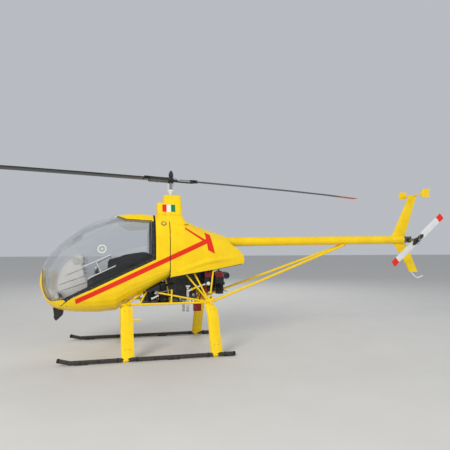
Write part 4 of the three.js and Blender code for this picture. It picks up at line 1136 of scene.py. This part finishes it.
# Frame: weld beads round the joints, gussets, bolts and the ball joints of the struts. Points in (x, z, y)
frameFacts = {
    "frontLow": (-0.597, 0.619, 0.322), "rearLow": (0.466, 0.619, 0.322), "secondLow": (-0.430, 0.619, 0.322),
    "postLow": (-0.033, 0.619, 0.322), "postHigh": (-0.026, 0.795, 0.322),
    "frontHigh": (-0.385, 0.752, 0.180), "secondHigh": (-0.317, 0.788, 0.139),
    "thirdHigh": (-0.196, 0.757, 0.308), "mountFront": (0.152, 1.005, 0.232),
    "mountMiddle": (0.261, 1.031, 0.236), "mountRear": (0.536, 1.082, 0.266),
    "welds": [("frontLow", "frontHigh", 0.055), ("secondLow", "secondHigh", 0.040),
              ("postLow", "postHigh", 0.016), ("postHigh", "postLow", 0.030),
              ("rearLow", "mountFront", 0.050), ("rearLow", "mountMiddle", 0.062),
              ("rearLow", "mountRear", 0.030), ("rearLow", "thirdHigh", 0.085)],
    "brace": 0.0118, "bead": {"Spacing": 0.0038, "Half length": 0.0025, "Bead radius": 0.0022},
    "faceY": 0.3363, "gussetThickness": 0.004,
    "gussets": [[(0.400, 0.612), (0.512, 0.612), (0.520, 0.650), (0.500, 0.706), (0.462, 0.700),
                 (0.428, 0.660), (0.380, 0.634)],
                [(-0.655, 0.608), (-0.560, 0.608), (-0.530, 0.634), (-0.560, 0.642), (-0.655, 0.630)]],
    "bolts": [(0.425, 0.630), (0.500, 0.630), (0.486, 0.688), (-0.640, 0.619), (-0.552, 0.622)],
    "joint": [
        ("rod", (0.478, 0.345, 0.672), (0.478, 0.345, 0.734), 0.0055),
        ("turn", (0.478, 0.345, 0.684), up, disc(0.011, 0.007), 6),
        ("turn", (0.478, 0.345, 0.720), up, disc(0.011, 0.007), 6)],
}


def makeFrameDetails():
    rings, bolts, plates = [], [], bmesh.new()
    for side in bothSides:
        for start, end, reach in frameFacts["welds"]:
            first, second = (spot(x, side * y, z) for x, z, y in (frameFacts[start], frameFacts[end]))
            axis = (second - first).normalized()
            ring = circle(first + axis * reach, axis, frameFacts["brace"], 20)
            rings.append(ring + ring[:1])
        for outline in frameFacts["gussets"]:
            addPlate(plates, spot(0, side * (frameFacts["faceY"] + 0.002), 0), aft, up, outline,
                     frameFacts["gussetThickness"])
        bolts += [(spot(x, side * (frameFacts["faceY"] + 0.0035), z), starboard * side)
                  for x, z in frameFacts["bolts"]]
    grow(curvesObject(rings, "weld_beads"), beadTree, frameFacts["bead"], "weld_beads", "tube", "airframe")
    finishPiece(plates, "frame_gussets", "tube", 0.0012)
    heads("frame_bolts", "steel", bolts, 0.0075, 0.005, 6)
    makePiece("strut_bolts", "darkAlloy", frameFacts["joint"], bothSides, bevel=0.0006)
    makePiece("strut_balls", "tube", [("turn", (0.478, 0.345, 0.706), up, ball(0.015), 20)], bothSides)


# Grey stay and small rods seen between the hull and the longeron, port side's places
linkFacts = {
    "grey_stay": ("alloy", 0.0072, [((-0.200, -0.308, 0.756), (-0.026, -0.322, 0.795))]),
    "pale_rods": ("white", 0.012, [((-0.271, -0.200, 0.669), (-0.183, -0.200, 0.710)),
                                   ((-0.225, -0.170, 0.740), (-0.180, -0.190, 0.765)),
                                   ((0.322, -0.205, 0.808), (0.515, -0.205, 0.879)),
                                   ((0.205, -0.200, 0.759), (0.256, -0.200, 0.782))]),
    "yellow_rod": ("tube", 0.013, [((0.250, -0.200, 0.780), (0.325, -0.200, 0.810))]),
    "cap": ("turn", (0.466, -0.246, 0.858), (0, -1, 0),
            [(0.021, 0), (0.025, 0.003), (0.025, 0.018), (0.019, 0.024), (0, 0.024)], 24),
}


def makeLinks():
    for name in ("grey_stay", "pale_rods", "yellow_rod"):
        look, radius, lines = linkFacts[name]
        rows = []
        for start, end in lines:
            way = Vector(end) - Vector(start)
            rows += [("rod", start, end, radius, 16),
                     ("turn", start, way, [(radius * 1.35, -0.004), (radius * 1.35, 0.012)], 16)]
        if name == "pale_rods":
            rows.append(linkFacts["cap"])
        makePiece(name, look, rows, (1, -1), bevel=0.001)


makeFrameDetails()
makeLinks()
print("frame details made")

# Skids and legs: end caps, clamps and bolts
skidFacts = {"y": 0.700, "z": 0.030, "radius": 0.024, "rearX": 0.680, "bend": (-1.222, 0.030),
             "tip": (-1.354, 0.064), "boltXs": (-1.130, -0.030, 0.250, 0.600),
             "clampXs": (-0.706, -0.489, 0.361, 0.571),
             "legBolts": [(-0.590, 0.560), (-0.590, 0.140), (0.475, 0.540), (0.478, 0.140)]}


def makeSkidDetails():
    y, z, radius, bolts = skidFacts["y"], skidFacts["z"], skidFacts["radius"], []
    tip, bend = (Vector((x, y, height)) for x, height in (skidFacts["tip"], skidFacts["bend"]))
    foot = [(radius + 0.0006, 0), (radius + 0.0025, 0.003)]
    makePiece("skid_caps", "rubber", [
        ("turn", (skidFacts["rearX"], y, z), aft,
         [*foot, (radius + 0.0025, 0.026), (radius - 0.003, 0.031), (0, 0.032)], 28),
        ("turn", tip - (tip - bend).normalized() * 0.020, tip - bend,
         [*foot, (radius + 0.0025, 0.018), (radius - 0.004, 0.028), (0, 0.030)], 28)], bothSides)
    makePiece("skid_clamps", "darkAlloy", [
        ("turn", (x, y, z), aft, band(radius + 0.0005, radius + 0.003, 0.022), 28)
        for x in skidFacts["clampXs"]], bothSides)
    for side in bothSides:
        bolts += [(spot(x, side * y, z + radius), up) for x in skidFacts["boltXs"]]
        for x, height in skidFacts["legBolts"]:
            leg = ("front" if x < 0 else "rear") + "_leg_" + ("left" if side < 0 else "right")
            bolts += [onSide(leg, x + shift, height, side) for shift in (-0.026, 0.026)]
    heads("skid_bolts", "steel", bolts, 0.0068, 0.0045, 6)


# Nose lamp: a round lens looking forward and down, with its rim
lampFacts = {
    "place": (-1.463, 0.0, 0.441), "aim": (-0.92, 0.0, -0.39), "seat": 0.002,
    "rim": [(0.027, -0.03), (0.032, 0), (0.032, 0.010), (0.027, 0.013), (0.024, 0.010), (0.024, 0.002)],
    "lens": [(0.024, 0.001), (0.023, 0.007), (0.0135, 0.011), (0, 0.012)],
}


def makeLamp():
    place = Vector(lampFacts["place"]) + Vector(lampFacts["aim"]).normalized() * lampFacts["seat"]
    makePiece("lamp_rim", "blackPaint", [("turn", place, lampFacts["aim"], lampFacts["rim"], 36)])
    makePiece("lamp_lens", "lens", [("turn", place, lampFacts["aim"], lampFacts["lens"], 36)])


makeSkidDetails()
makeLamp()
print("undercarriage and lamp details made")

# Engine: plugs and leads, carburettors, hoses, clamps and the parts in red
engineFacts = {
    "heads": [(0.470, -1), (0.612, -1), (0.440, 1), (0.582, 1)],
    "plug": [(0.010, -0.002), (0.010, 0.006), (0.007, 0.008), (0.007, 0.026), (0.009, 0.028), (0.009, 0.046),
             (0, 0.048)],
    "coils": [("box", (0.370, -0.045, 0.986), (0.478, 0.045, 1.012)),
              ("box", (0.380, -0.012, 0.985), (0.460, 0.012, 0.987))],
    "carburettors": [
        ("turn", (0.655, 0.130, 0.845), aft,
         [(0.022, -0.045), (0.026, -0.040), (0.026, 0.030), (0.020, 0.036), (0.020, 0.060)], 20),
        ("turn", (0.657, 0.130, 0.845), up,
         [(0.018, 0.010), (0.018, 0.040), (0.010, 0.046), (0, 0.047)], 20)],
    "bowls": [("turn", (0.657, 0.130, 0.845), -up,
               [(0.022, 0.012), (0.022, 0.046), (0.018, 0.052), (0, 0.053)], 20)],
    "hoses": [((0.600, -0.138, 0.742), (0.634, -0.148, 0.800), 0.034),
              ((0.640, -0.160, 0.905), (0.676, -0.144, 0.745), 0.030),
              ((0.640, 0.150, 0.905), (0.676, 0.120, 0.745), 0.030)],
    "filterRings": [
        ("hoop", (0.716, 0.236, 0.958), starboard, [(0.0462, -0.010), (0.0485, -0.010), (0.0485, 0.001),
                                                    (0.045, 0.005), (0.041, 0.005), (0.041, 0.001)], 36),
        ("turn", (0.716, 0.150, 0.958), starboard, [(0.0475, 0), (0.0475, 0.008), (0.0462, 0.010)], 32)],
    "redPairs": [
        ("rod", (0.426, 0.150, 0.842), (0.470, 0.150, 0.724), 0.019, 18),
        ("turn", (0.426, 0.150, 0.842), up, [(0.024, -0.006), (0.024, 0.008), (0.018, 0.012)], 18)],
    "redAlone": [
        ("box", (0.300, -0.085, 0.474), (0.402, -0.020, 0.570)),
        ("rod", (0.367, -0.052, 0.560), (0.410, -0.052, 0.720), 0.011, 14),
        ("turn", (0.367, -0.052, 0.485), -up, [(0.016, 0), (0.016, 0.006), (0.010, 0.010), (0, 0.010)], 18)],
    "bright": [
        ("turn", (0.283, -0.120, 0.702), -starboard, [(0.026, -0.02), (0.026, 0.002), (0.020, 0.008),
                                                      (0.008, 0.010), (0, 0.010)], 28),
        ("rod", (0.716, -0.105, 0.744), (0.763, -0.112, 0.733), 0.010, 16, 0.006)],
    "leadRadius": 0.0042, "hoseRadius": 0.014, "wireRadius": 0.004,
}


# A row for a corrugated hose: a turned tube with ribs, along a straight line
def corrugated(start, end, radius, pitch=0.012):
    way = Vector(end) - Vector(start)
    count = max(2, int(way.length / pitch))
    step = way.length / count
    profile = [(radius * 0.75, 0)]
    for k in range(count):
        profile += [(radius * share, step * (k + reach))
                    for share, reach in ((0.86, 0.15), (1, 0.4), (1, 0.65), (0.86, 0.9))]
    return "turn", start, way, profile + [(radius * 0.75, way.length)], 22


def makeEngineTop():
    covers, fins, plugs, bolts, leads = bmesh.new(), bmesh.new(), bmesh.new(), [], []
    for count, (x, side) in enumerate(engineFacts["heads"]):
        addRows(covers, [("shelf", (x - 0.032, 0.2615, 0.980 + 0.007 * k), (0.064, 0.004, 0.003))
                         for k in range(3)], side)
        addRows(covers, [("box", (x - 0.049, 0.2450, 0.9450), (x + 0.049, 0.2570, 0.9642))], side)
        addRows(fins, [("shelf", (x - 0.048, 0.2455, 0.863 + 0.0145 * k), (0.096, 0.007, 0.005))
                       for k in range(5)], side)
        addRows(plugs, [("turn", (x, 0.224, 1.011), up, engineFacts["plug"], 14)], side)
        bolts += [(spot(x + shift, side * 0.250, z), starboard * side)
                  for z in (0.973, 1.003) for shift in (-0.046, 0.046)]
        seat, end = spot(x, side * 0.224, 1.011), spot(0.400 + 0.018 * count, side * 0.030, 1.012)
        leads.append([seat + up * 0.044, seat + Vector((0, -side * 0.02, 0.070)),
                      end + Vector((0.03, side * 0.06, 0.025)), end])
    finishPiece(covers, "cover_ribs", "red", 0.0008, 1)
    finishPiece(fins, "head_fins", "darkAlloy", slot="cast_alloy")
    finishPiece(plugs, "spark_plugs", "rubber")
    heads("cover_bolts", "steel", bolts, 0.0055, 0.004, 6)
    pipes("plug_leads", "red", leads, engineFacts["leadRadius"], 8, 0.012)
    makePiece("ignition_coils", "trimBlack", engineFacts["coils"], bevel=0.004)


def makeEngineSides():
    makePiece("carburettors", "darkAlloy", engineFacts["carburettors"], bothSides, bevel=0.0008, steps=1,
              slot="cast_alloy")
    makePiece("carburettor_bowls", "darkAlloy", engineFacts["bowls"], bothSides, slot="bright_steel")
    makePiece("intake_hoses", "rubber", [corrugated(*hose) for hose in engineFacts["hoses"]])
    makePiece("filter_rings", "steel", engineFacts["filterRings"], bothSides)
    makePiece("red_fittings", "red", engineFacts["redPairs"], bothSides, engineFacts["redAlone"], bevel=0.004)
    makePiece("bright_fittings", "steel", engineFacts["bright"], bevel=0.001)


# Drive case, exhaust, coolant hoses and wires. Bolts are in rows of (xs, y, zs)
driveFacts = {
    "bolts": [((0.075, 0.135, 0.255, 0.300), 0.120, (0.680, 0.935)),
              ((-0.068, 0.024), 0.112, (0.676, 0.780, 0.884))],
    "ribs": [("box", (0.060, 0.1195, 0.722), (0.310, 0.1235, 0.918)),
             *(("shelf", (0.080 + 0.045 * k, 0.1215, 0.740), (0.010, 0.010, 0.160)) for k in range(5))],
    "pipes": [(-1, 0.209, 0.484), (1, 0.195, 0.445)], "pipeY": 0.141,
    "flanges": [(0.672, 0.0225), (0.770, 0.0215)],
    "outlet": [(0.0182, -0.012), (0.0200, -0.010), (0.0200, 0.001), (0.0150, 0.002), (0.0150, -0.001)],
    "coolant": [(0.200, 0.845, 0.850), (0.180, 0.690, 0.712)],
    "wires": [
        [(-0.280, 0.060, 0.738), (-0.250, 0.070, 0.760), (-0.178, 0.060, 0.640), (-0.160, 0.055, 0.612),
         (-0.110, 0.050, 0.612), (-0.090, 0.048, 0.645), (-0.075, 0.045, 0.665)],
        [(-0.280, -0.060, 0.738), (-0.245, -0.080, 0.765), (-0.178, -0.150, 0.640), (-0.160, -0.160, 0.612),
         (-0.105, -0.170, 0.614), (-0.070, -0.180, 0.648), (0.000, -0.170, 0.650), (0.035, -0.115, 0.672)],
        [(0.400, 0.0, 0.722), (0.300, -0.060, 0.640), (0.120, -0.090, 0.638), (0.060, -0.100, 0.662)]],
}


def makeDriveDetails():
    bolts = [(spot(x, side * y, z), starboard * side)
             for side in bothSides for xs, y, zs in driveFacts["bolts"] for x in xs for z in zs]
    makePiece("drive_case_ribs", "darkAlloy", driveFacts["ribs"], bothSides, bevel=0.002)
    heads("drive_case_bolts", "steel", bolts, 0.0065, 0.0045, 6)
    clamps, studs = bmesh.new(), []
    for side, x, outlet in driveFacts["pipes"]:
        for z, reach in driveFacts["flanges"]:
            addHoop(clamps, spot(x, side * driveFacts["pipeY"], z), up, [
                (0.0175, 0), (reach, 0), (reach, 0.010), (0.0175, 0.010)], 28)
        addHoop(clamps, spot(x, side * driveFacts["pipeY"], outlet), -up, driveFacts["outlet"], 28)
        studs += [(spot(x + shift, side * 0.145, 0.830), up) for shift in (-0.020, 0.020)]
    finishPiece(clamps, "exhaust_clamps", "steel")
    heads("exhaust_studs", "steel", studs, 0.006, 0.006, 6)
    hoses = [[spot(x, side * y, z) for x, y, z in (
        (-0.106, radiatorY, radiatorZ), (-0.060, radiatorY, radiatorZ), (0.000, 0.165, caseZ),
        (0.012, 0.140, caseZ), (0.014, 0.108, caseZ))]
        for side in bothSides for radiatorY, radiatorZ, caseZ in driveFacts["coolant"]]
    pipes("coolant_hoses", "rubber", hoses, engineFacts["hoseRadius"], 12, 0.012)
    wires = [[spot(*place) for place in wire] for wire in driveFacts["wires"]]
    pipes("engine_wires", "rubber", wires, engineFacts["wireRadius"], 8, 0.012)


# Battery straps, radiator slats, and the black plates round the engine: duct, tray and plenum with half
# widths. The black plates also stand in for the bay's shade, as painted shade
bayFacts = {
    "posts": [("turn", (-0.280, y, 0.738), up, [(0.010, -0.001), (0.009, 0.010), (0, 0.011)], 16)
              for y in (-0.060, 0.060)],
    "straps": [("box", (x, -0.1065, 0.640), (x + 0.020, 0.1065, 0.7405)) for x in (-0.340, -0.235)],
    "slats": [("box", (x, 0.2425, 0.668), (x + 0.003, 0.2445, 0.858))
              for x in (-0.1605 + 0.0105 * k for k in range(6))],
    "cap": [("turn", (-0.133, 0.0, 0.868), up, disc(0.022, 0.008), 20)],
    "panels": [
        (0.225, [(-0.345, 0.771), (-0.345, 0.778), (-0.230, 0.835), (-0.170, 0.862), (-0.170, 0.771)]),
        (0.300, [(-0.400, 0.6012), (0.150, 0.6012), (0.150, 0.6045), (-0.400, 0.6045)]),
        (0.200, [(-0.040, 0.902), (0.044, 0.902), (0.044, 0.957), (0.335, 0.957), (0.335, 1.002),
                 (-0.040, 0.985)])],
}


def makeBayDetails():
    makePiece("battery_posts", "steel", bayFacts["posts"])
    makePiece("battery_straps", "webbing", bayFacts["straps"], bevel=0.001, steps=1)
    makePiece("radiator_slats", "darkAlloy", bayFacts["slats"], bothSides, bayFacts["cap"])
    # Black plates in the bay: duct, tray and plenum, and also painted shade that darkens the bay
    panels = bmesh.new()
    for half, outline in bayFacts["panels"]:
        addPlate(panels, spot(0, half, 0), aft, up, outline, 2 * half)
    finishPiece(panels, "engine_bay_panels_and_shade", "trimBlack", 0.001)


makeEngineTop()
makeEngineSides()
makeDriveDetails()
makeBayDetails()
print("engine details made")

# Tail boom: clamp rings, strut pins and rivets. The boom's axis climbs gently towards the tail
boomFacts = {
    "startX": 0.150, "startZ": 1.401, "endX": 3.596, "endZ": 1.455, "radius": 0.063,
    "ringXs": (0.990, 2.500, 2.622, 3.380, 3.585), "rivetXs": (2.500, 2.622, 3.380), "pinXs": (2.539, 2.583),
    "strutLow": (0.498, 0.316, 0.625), "strutHigh": (2.561, 0.0362, 1.369),
}


def boomSpot(x, y=0.0, rise=0.0):
    share = (x - boomFacts["startX"]) / (boomFacts["endX"] - boomFacts["startX"])
    return spot(x, y, boomFacts["startZ"] + (boomFacts["endZ"] - boomFacts["startZ"]) * share + rise)


def makeBoomDetails():
    way, radius = (boomSpot(3.0) - boomSpot(1.0)).normalized(), boomFacts["radius"]
    rings, rivets, pins, collars = bmesh.new(), [], bmesh.new(), bmesh.new()
    for x in boomFacts["ringXs"]:
        addTurned(rings, boomSpot(x) - way * 0.009, way, band(radius + 0.0004, radius + 0.0020, 0.018), 48)
    addTurned(rings, boomSpot(boomFacts["endX"]), way, [(radius - 0.002, -0.03), (radius + 0.0006, -0.001),
                                                        (radius - 0.004, 0.0012), (0.0, 0.0013)], 48)
    finishPiece(rings, "boom_rings", "plain", slot="yellow_tube")
    for x in boomFacts["rivetXs"]:
        rays = [Vector((0, across, rise)) for across, rise in turns(12, 0.5)]
        rivets += [(boomSpot(x) + ray * (radius + 0.002), ray) for ray in rays]
    for side in bothSides:
        rivets += [onSide("upper_fin", 3.455 + 0.024 * k, 1.535 + 0.003 * k, side) for k in range(9)]
    heads("boom_rivets", "tube", rivets, 0.0036, 0.0018, 8)
    for x in boomFacts["pinXs"]:
        centre = boomSpot(x, 0, -0.078)
        addRod(pins, centre - starboard * 0.034, centre + starboard * 0.034, 0.006)
        for side in bothSides:
            addTurned(pins, centre + starboard * side * 0.0262, starboard * side, disc(0.011, 0.006), 6)
    finishPiece(pins, "strut_pins", "steel", 0.0005, 1)
    for side in bothSides:
        low, high = (spot(x, side * y, z) for x, y, z in (boomFacts["strutLow"], boomFacts["strutHigh"]))
        axis = (high - low).normalized()
        for reach in (0.045, 0.075):
            addTurned(collars, low + axis * reach, axis, band(0.0172, 0.020, 0.012), 20)
        addTurned(collars, high - axis * 0.070, axis, band(0.0172, 0.0195, 0.014), 20)
    finishPiece(collars, "strut_collars", "tube")


makeBoomDetails()

# Tail rotor: cuffs on the blade roots, hub plates, the pitch slider, its links and the gearbox covers
tailFacts = {
    "centre": (3.681, -0.250, 1.451), "angle": 40.9,
    "cuff": [(0, -0.017), (0.034, -0.018), (0.048, -0.011), (0.052, 0), (0.048, 0.011), (0.034, 0.018),
             (0, 0.017)],
    "slider": [(0.014, -0.004), (0.020, 0), (0.020, 0.008), (0.012, 0.012), (0.012, 0.030), (0, 0.031)],
    "covers": [
        *(("box", (x, -0.0465, 1.413), (x + 0.010, 0.0465, 1.502)) for x in (3.607, 3.711)),
        ("turn", (3.681, -0.044, 1.451), -starboard,
         [(0.034, 0), (0.034, 0.012), (0.026, 0.018), (0.0202, 0.020)], 28),
        ("turn", (3.681, 0.043, 1.451), starboard,
         [(0.034, 0), (0.034, 0.010), (0.024, 0.014), (0, 0.014)], 28),
        ("turn", (3.728, 0, 1.455), aft, [(0.026, -0.001), (0.026, 0.006), (0.010, 0.010), (0, 0.010)])],
}


def tailSpot(along, across, out):
    angle = math.radians(tailFacts["angle"])
    ray = Vector((math.cos(angle), 0, math.sin(angle)))
    side = Vector((-math.sin(angle), 0, math.cos(angle)))
    return spot(*tailFacts["centre"]) + ray * along + side * across + starboard * out


def makeTailRotorDetails():
    cuffs, plates, slider, bolts = bmesh.new(), bmesh.new(), bmesh.new(), []
    cross = (tailSpot(0, 1, 0) - tailSpot(0, 0, 0)).normalized()
    addTurned(slider, tailSpot(0, 0, -0.036), -starboard, tailFacts["slider"])
    for way in (-1, 1):
        ray = (tailSpot(way, 0, 0) - tailSpot(0, 0, 0)).normalized()
        for out, thickness in ((-0.0075, -0.0035), (0.0075, 0.0035)):
            addPlate(cuffs, tailSpot(way * 0.070, 0, out), ray, cross, tailFacts["cuff"], -way * thickness)
        bolts += [(tailSpot(way * reach, 0, out * 0.011), starboard * out)
                  for reach in (0.052, 0.086, 0.108) for out in (-1, 1)]
        addPlate(plates, tailSpot(way * 0.030, -0.024, -0.019), ray, cross, rectangle(0.040, 0.048),
                 -way * 0.038)
        for start, end, radius in (((0, 0.012, -0.052), (0.055, 0.042, -0.030), 0.0035),
                                   ((0.055, 0.042, -0.034), (0.055, 0.030, -0.008), 0.0045)):
            first, second = (tailSpot(way * along, way * across, out) for along, across, out in (start, end))
            addRod(slider, first, second, radius, 10)
    finishPiece(cuffs, "tail_blade_cuffs", "blackPaint", 0.001, body="tail_rotor")
    finishPiece(plates, "tail_hub_plates", "darkAlloy", 0.003, body="tail_rotor")
    heads("tail_hub_bolts", "steel", bolts, 0.0060, 0.005, 6, "tail_rotor")
    finishPiece(slider, "tail_pitch_links", "steel", body="tail_rotor")
    makePiece("gearbox_covers", "darkAlloy", tailFacts["covers"], bevel=0.002, slot="cast_alloy")
    nuts = [(spot(3.681 + 0.028 * a, 0.054, 1.451 + 0.028 * b), starboard) for a, b in turns(6)]
    heads("gearbox_bolts", "steel", nuts, 0.004, 0.003, 6)


makeTailRotorDetails()

# Stabiliser: brackets between the fin's top, the tube and the plates
stabiliserFacts = {
    "brackets": [
        ("turn", (3.818, 0.268, 2.148), starboard,
         [(0.0112, 0), (0.015, 0.002), (0.022, 0.0115), (0.022, 0.012)]),
        ("turn", (3.818, 0.020, 2.148), starboard,
         [(0.0112, -0.004), (0.015, -0.002), (0.015, 0.010), (0.0112, 0.012)])],
    "bolts": [(3.788, 0.2894, 2.128), (3.836, 0.2894, 2.122), (3.818, 0.2894, 2.182)],
}
makePiece("stabiliser_brackets", "tube", stabiliserFacts["brackets"], bothSides)
heads("stabiliser_bolts", "steel", [(spot(x, side * y, z), starboard * side) for side in bothSides
                                    for x, y, z in stabiliserFacts["bolts"]], 0.0048, 0.003, 6)
print("tail details made")

# Main rotor head: pitch horns, teeter bolt, blade bolts and the rings of the swashplate
headFacts = {
    "z": 2.240, "azimuth": 10.8, "tilt": 1.0, "hornRadius": 0.0062,
    "horn": [(0.028, -0.026, 0.050), (0.070, -0.058, 0.012), (0.100, -0.062, -0.004),
             (0.250, -0.061, -0.006)],
    "teeterBolt": [(0, 0), (0.012, 0.001), (0.012, 0.012), (0.018, 0.013), (0.018, 0.091), (0.012, 0.092),
                   (0.012, 0.103), (0, 0.104)],
    "rings": [("hoop", (0, 0, 2.100), up, [
        (0.0206, -0.060), (0.0272, -0.060), (0.0272, -0.040), (0.0430, -0.008), (0.0446, -0.005),
        (0.0446, 0.005), (0.0430, 0.0085), (0.0300, 0.011), (0.0206, 0.016)], 40)],
    "bolts": [((0.150, 0.230), (-0.030, 0.030), 0.019, 0.19, 0.0),
              ((0.328, 0.356), (-0.026, 0.012), 0.020, 0.087, 0.008)],
}


# A point of the head: along the front-to-rear blade line, across it, and above the hub's centre
def headSpot(along, across, rise):
    flat, tilt = math.radians(headFacts["azimuth"]), math.radians(headFacts["tilt"])
    ray, side = Vector((math.cos(flat), math.sin(flat), 0)), Vector((-math.sin(flat), math.cos(flat), 0))
    high = along * -math.sin(tilt) + rise * math.cos(tilt)
    run = along * math.cos(tilt) + rise * math.sin(tilt)
    return spot(0, 0, headFacts["z"]) + ray * run + side * across + up * high


def makeRotorHead():
    sideways = (headSpot(0, 1, 0) - headSpot(0, 0, 0)).normalized()
    bolts, horns, teeter = [], [], bmesh.new()
    for way in (-1, 1):
        horns.append([headSpot(way * along, way * across, rise) for along, across, rise in headFacts["horn"]])
        for reaches, sides, height, twist, lift in headFacts["bolts"]:
            bolts += [(headSpot(way * reach, across, face * height + across * way * twist + lift), up * face)
                      for reach in reaches for across in sides for face in (-1, 1)]
    addTurned(teeter, headSpot(0, 0, 0) - sideways * 0.052, sideways, headFacts["teeterBolt"])
    pipes("pitch_horns", "paleAlloy", horns, headFacts["hornRadius"], 12, 0.008, "main_rotor")
    finishPiece(teeter, "teeter_bolt", "darkAlloy", 0.001, body="main_rotor")
    heads("rotor_head_bolts", "steel", bolts, 0.0075, 0.006, 6, "main_rotor")
    makePiece("swashplate_rings", "white", headFacts["rings"], body="main_rotor")


makeRotorHead()
print("rotor details made")

# Floor and soft studio light
studio = {
    "floorHalf": 60.0, "floorTone": (0.62, 0.61, 0.59), "floorShade": 0.97,
    "sky": (0.86, 0.90, 0.96), "skyStrength": 0.56,
    "lamps": [
        {"name": "key", "place": (-7.0, -8.5, 6.5), "aim": (0, 0, 0.9), "size": 4.0, "power": 900,
         "tint": (1.0, 0.95, 0.86)},
        {"name": "fill", "place": (7.0, -7.0, 5.0), "aim": (0.5, 0, 1.0), "size": 5.0, "power": 230,
         "tint": (0.90, 0.95, 1.0)},
        {"name": "rim", "place": (2.0, 8.0, 7.0), "aim": (0, 0, 1.0), "size": 5.0, "power": 260,
         "tint": (1.0, 0.98, 0.95)},
    ],
}


def makeStudio():
    half, tone = studio["floorHalf"], studio["floorTone"]
    mesh = bpy.data.meshes.new("floor")
    corners = [(x * half, y * half, 0) for x, y in ((-1, -1), (1, -1), (1, 1), (-1, 1))]
    mesh.from_pydata(corners, [], [(0, 1, 2, 3)])
    shade = tuple(value * studio["floorShade"] for value in tone)
    mesh.materials.append(newFinish("pale_floor", tone, shade, (0.75, 0.9), 1.5))
    addObject("floor", mesh)
    world = bpy.data.worlds.new("studio")
    world.use_nodes = True
    background = world.node_tree.nodes["Background"].inputs
    background["Color"].default_value = (*studio["sky"], 1)
    background["Strength"].default_value = studio["skyStrength"]
    bpy.context.scene.world = world
    bpy.context.scene.view_settings.view_transform = "Standard"
    for lamp in studio["lamps"]:
        data = bpy.data.lights.new(lamp["name"], "AREA")
        data.size, data.energy, data.color = lamp["size"], lamp["power"], lamp["tint"]
        light = addObject(lamp["name"], data)
        light.location = lamp["place"]
        light.visible_glossy = light.visible_transmission = light.visible_camera = False
        way = Vector(lamp["aim"]) - Vector(lamp["place"])
        light.rotation_euler = way.to_track_quat("-Z", "Y").to_euler()


makeStudio()
print("studio ready")
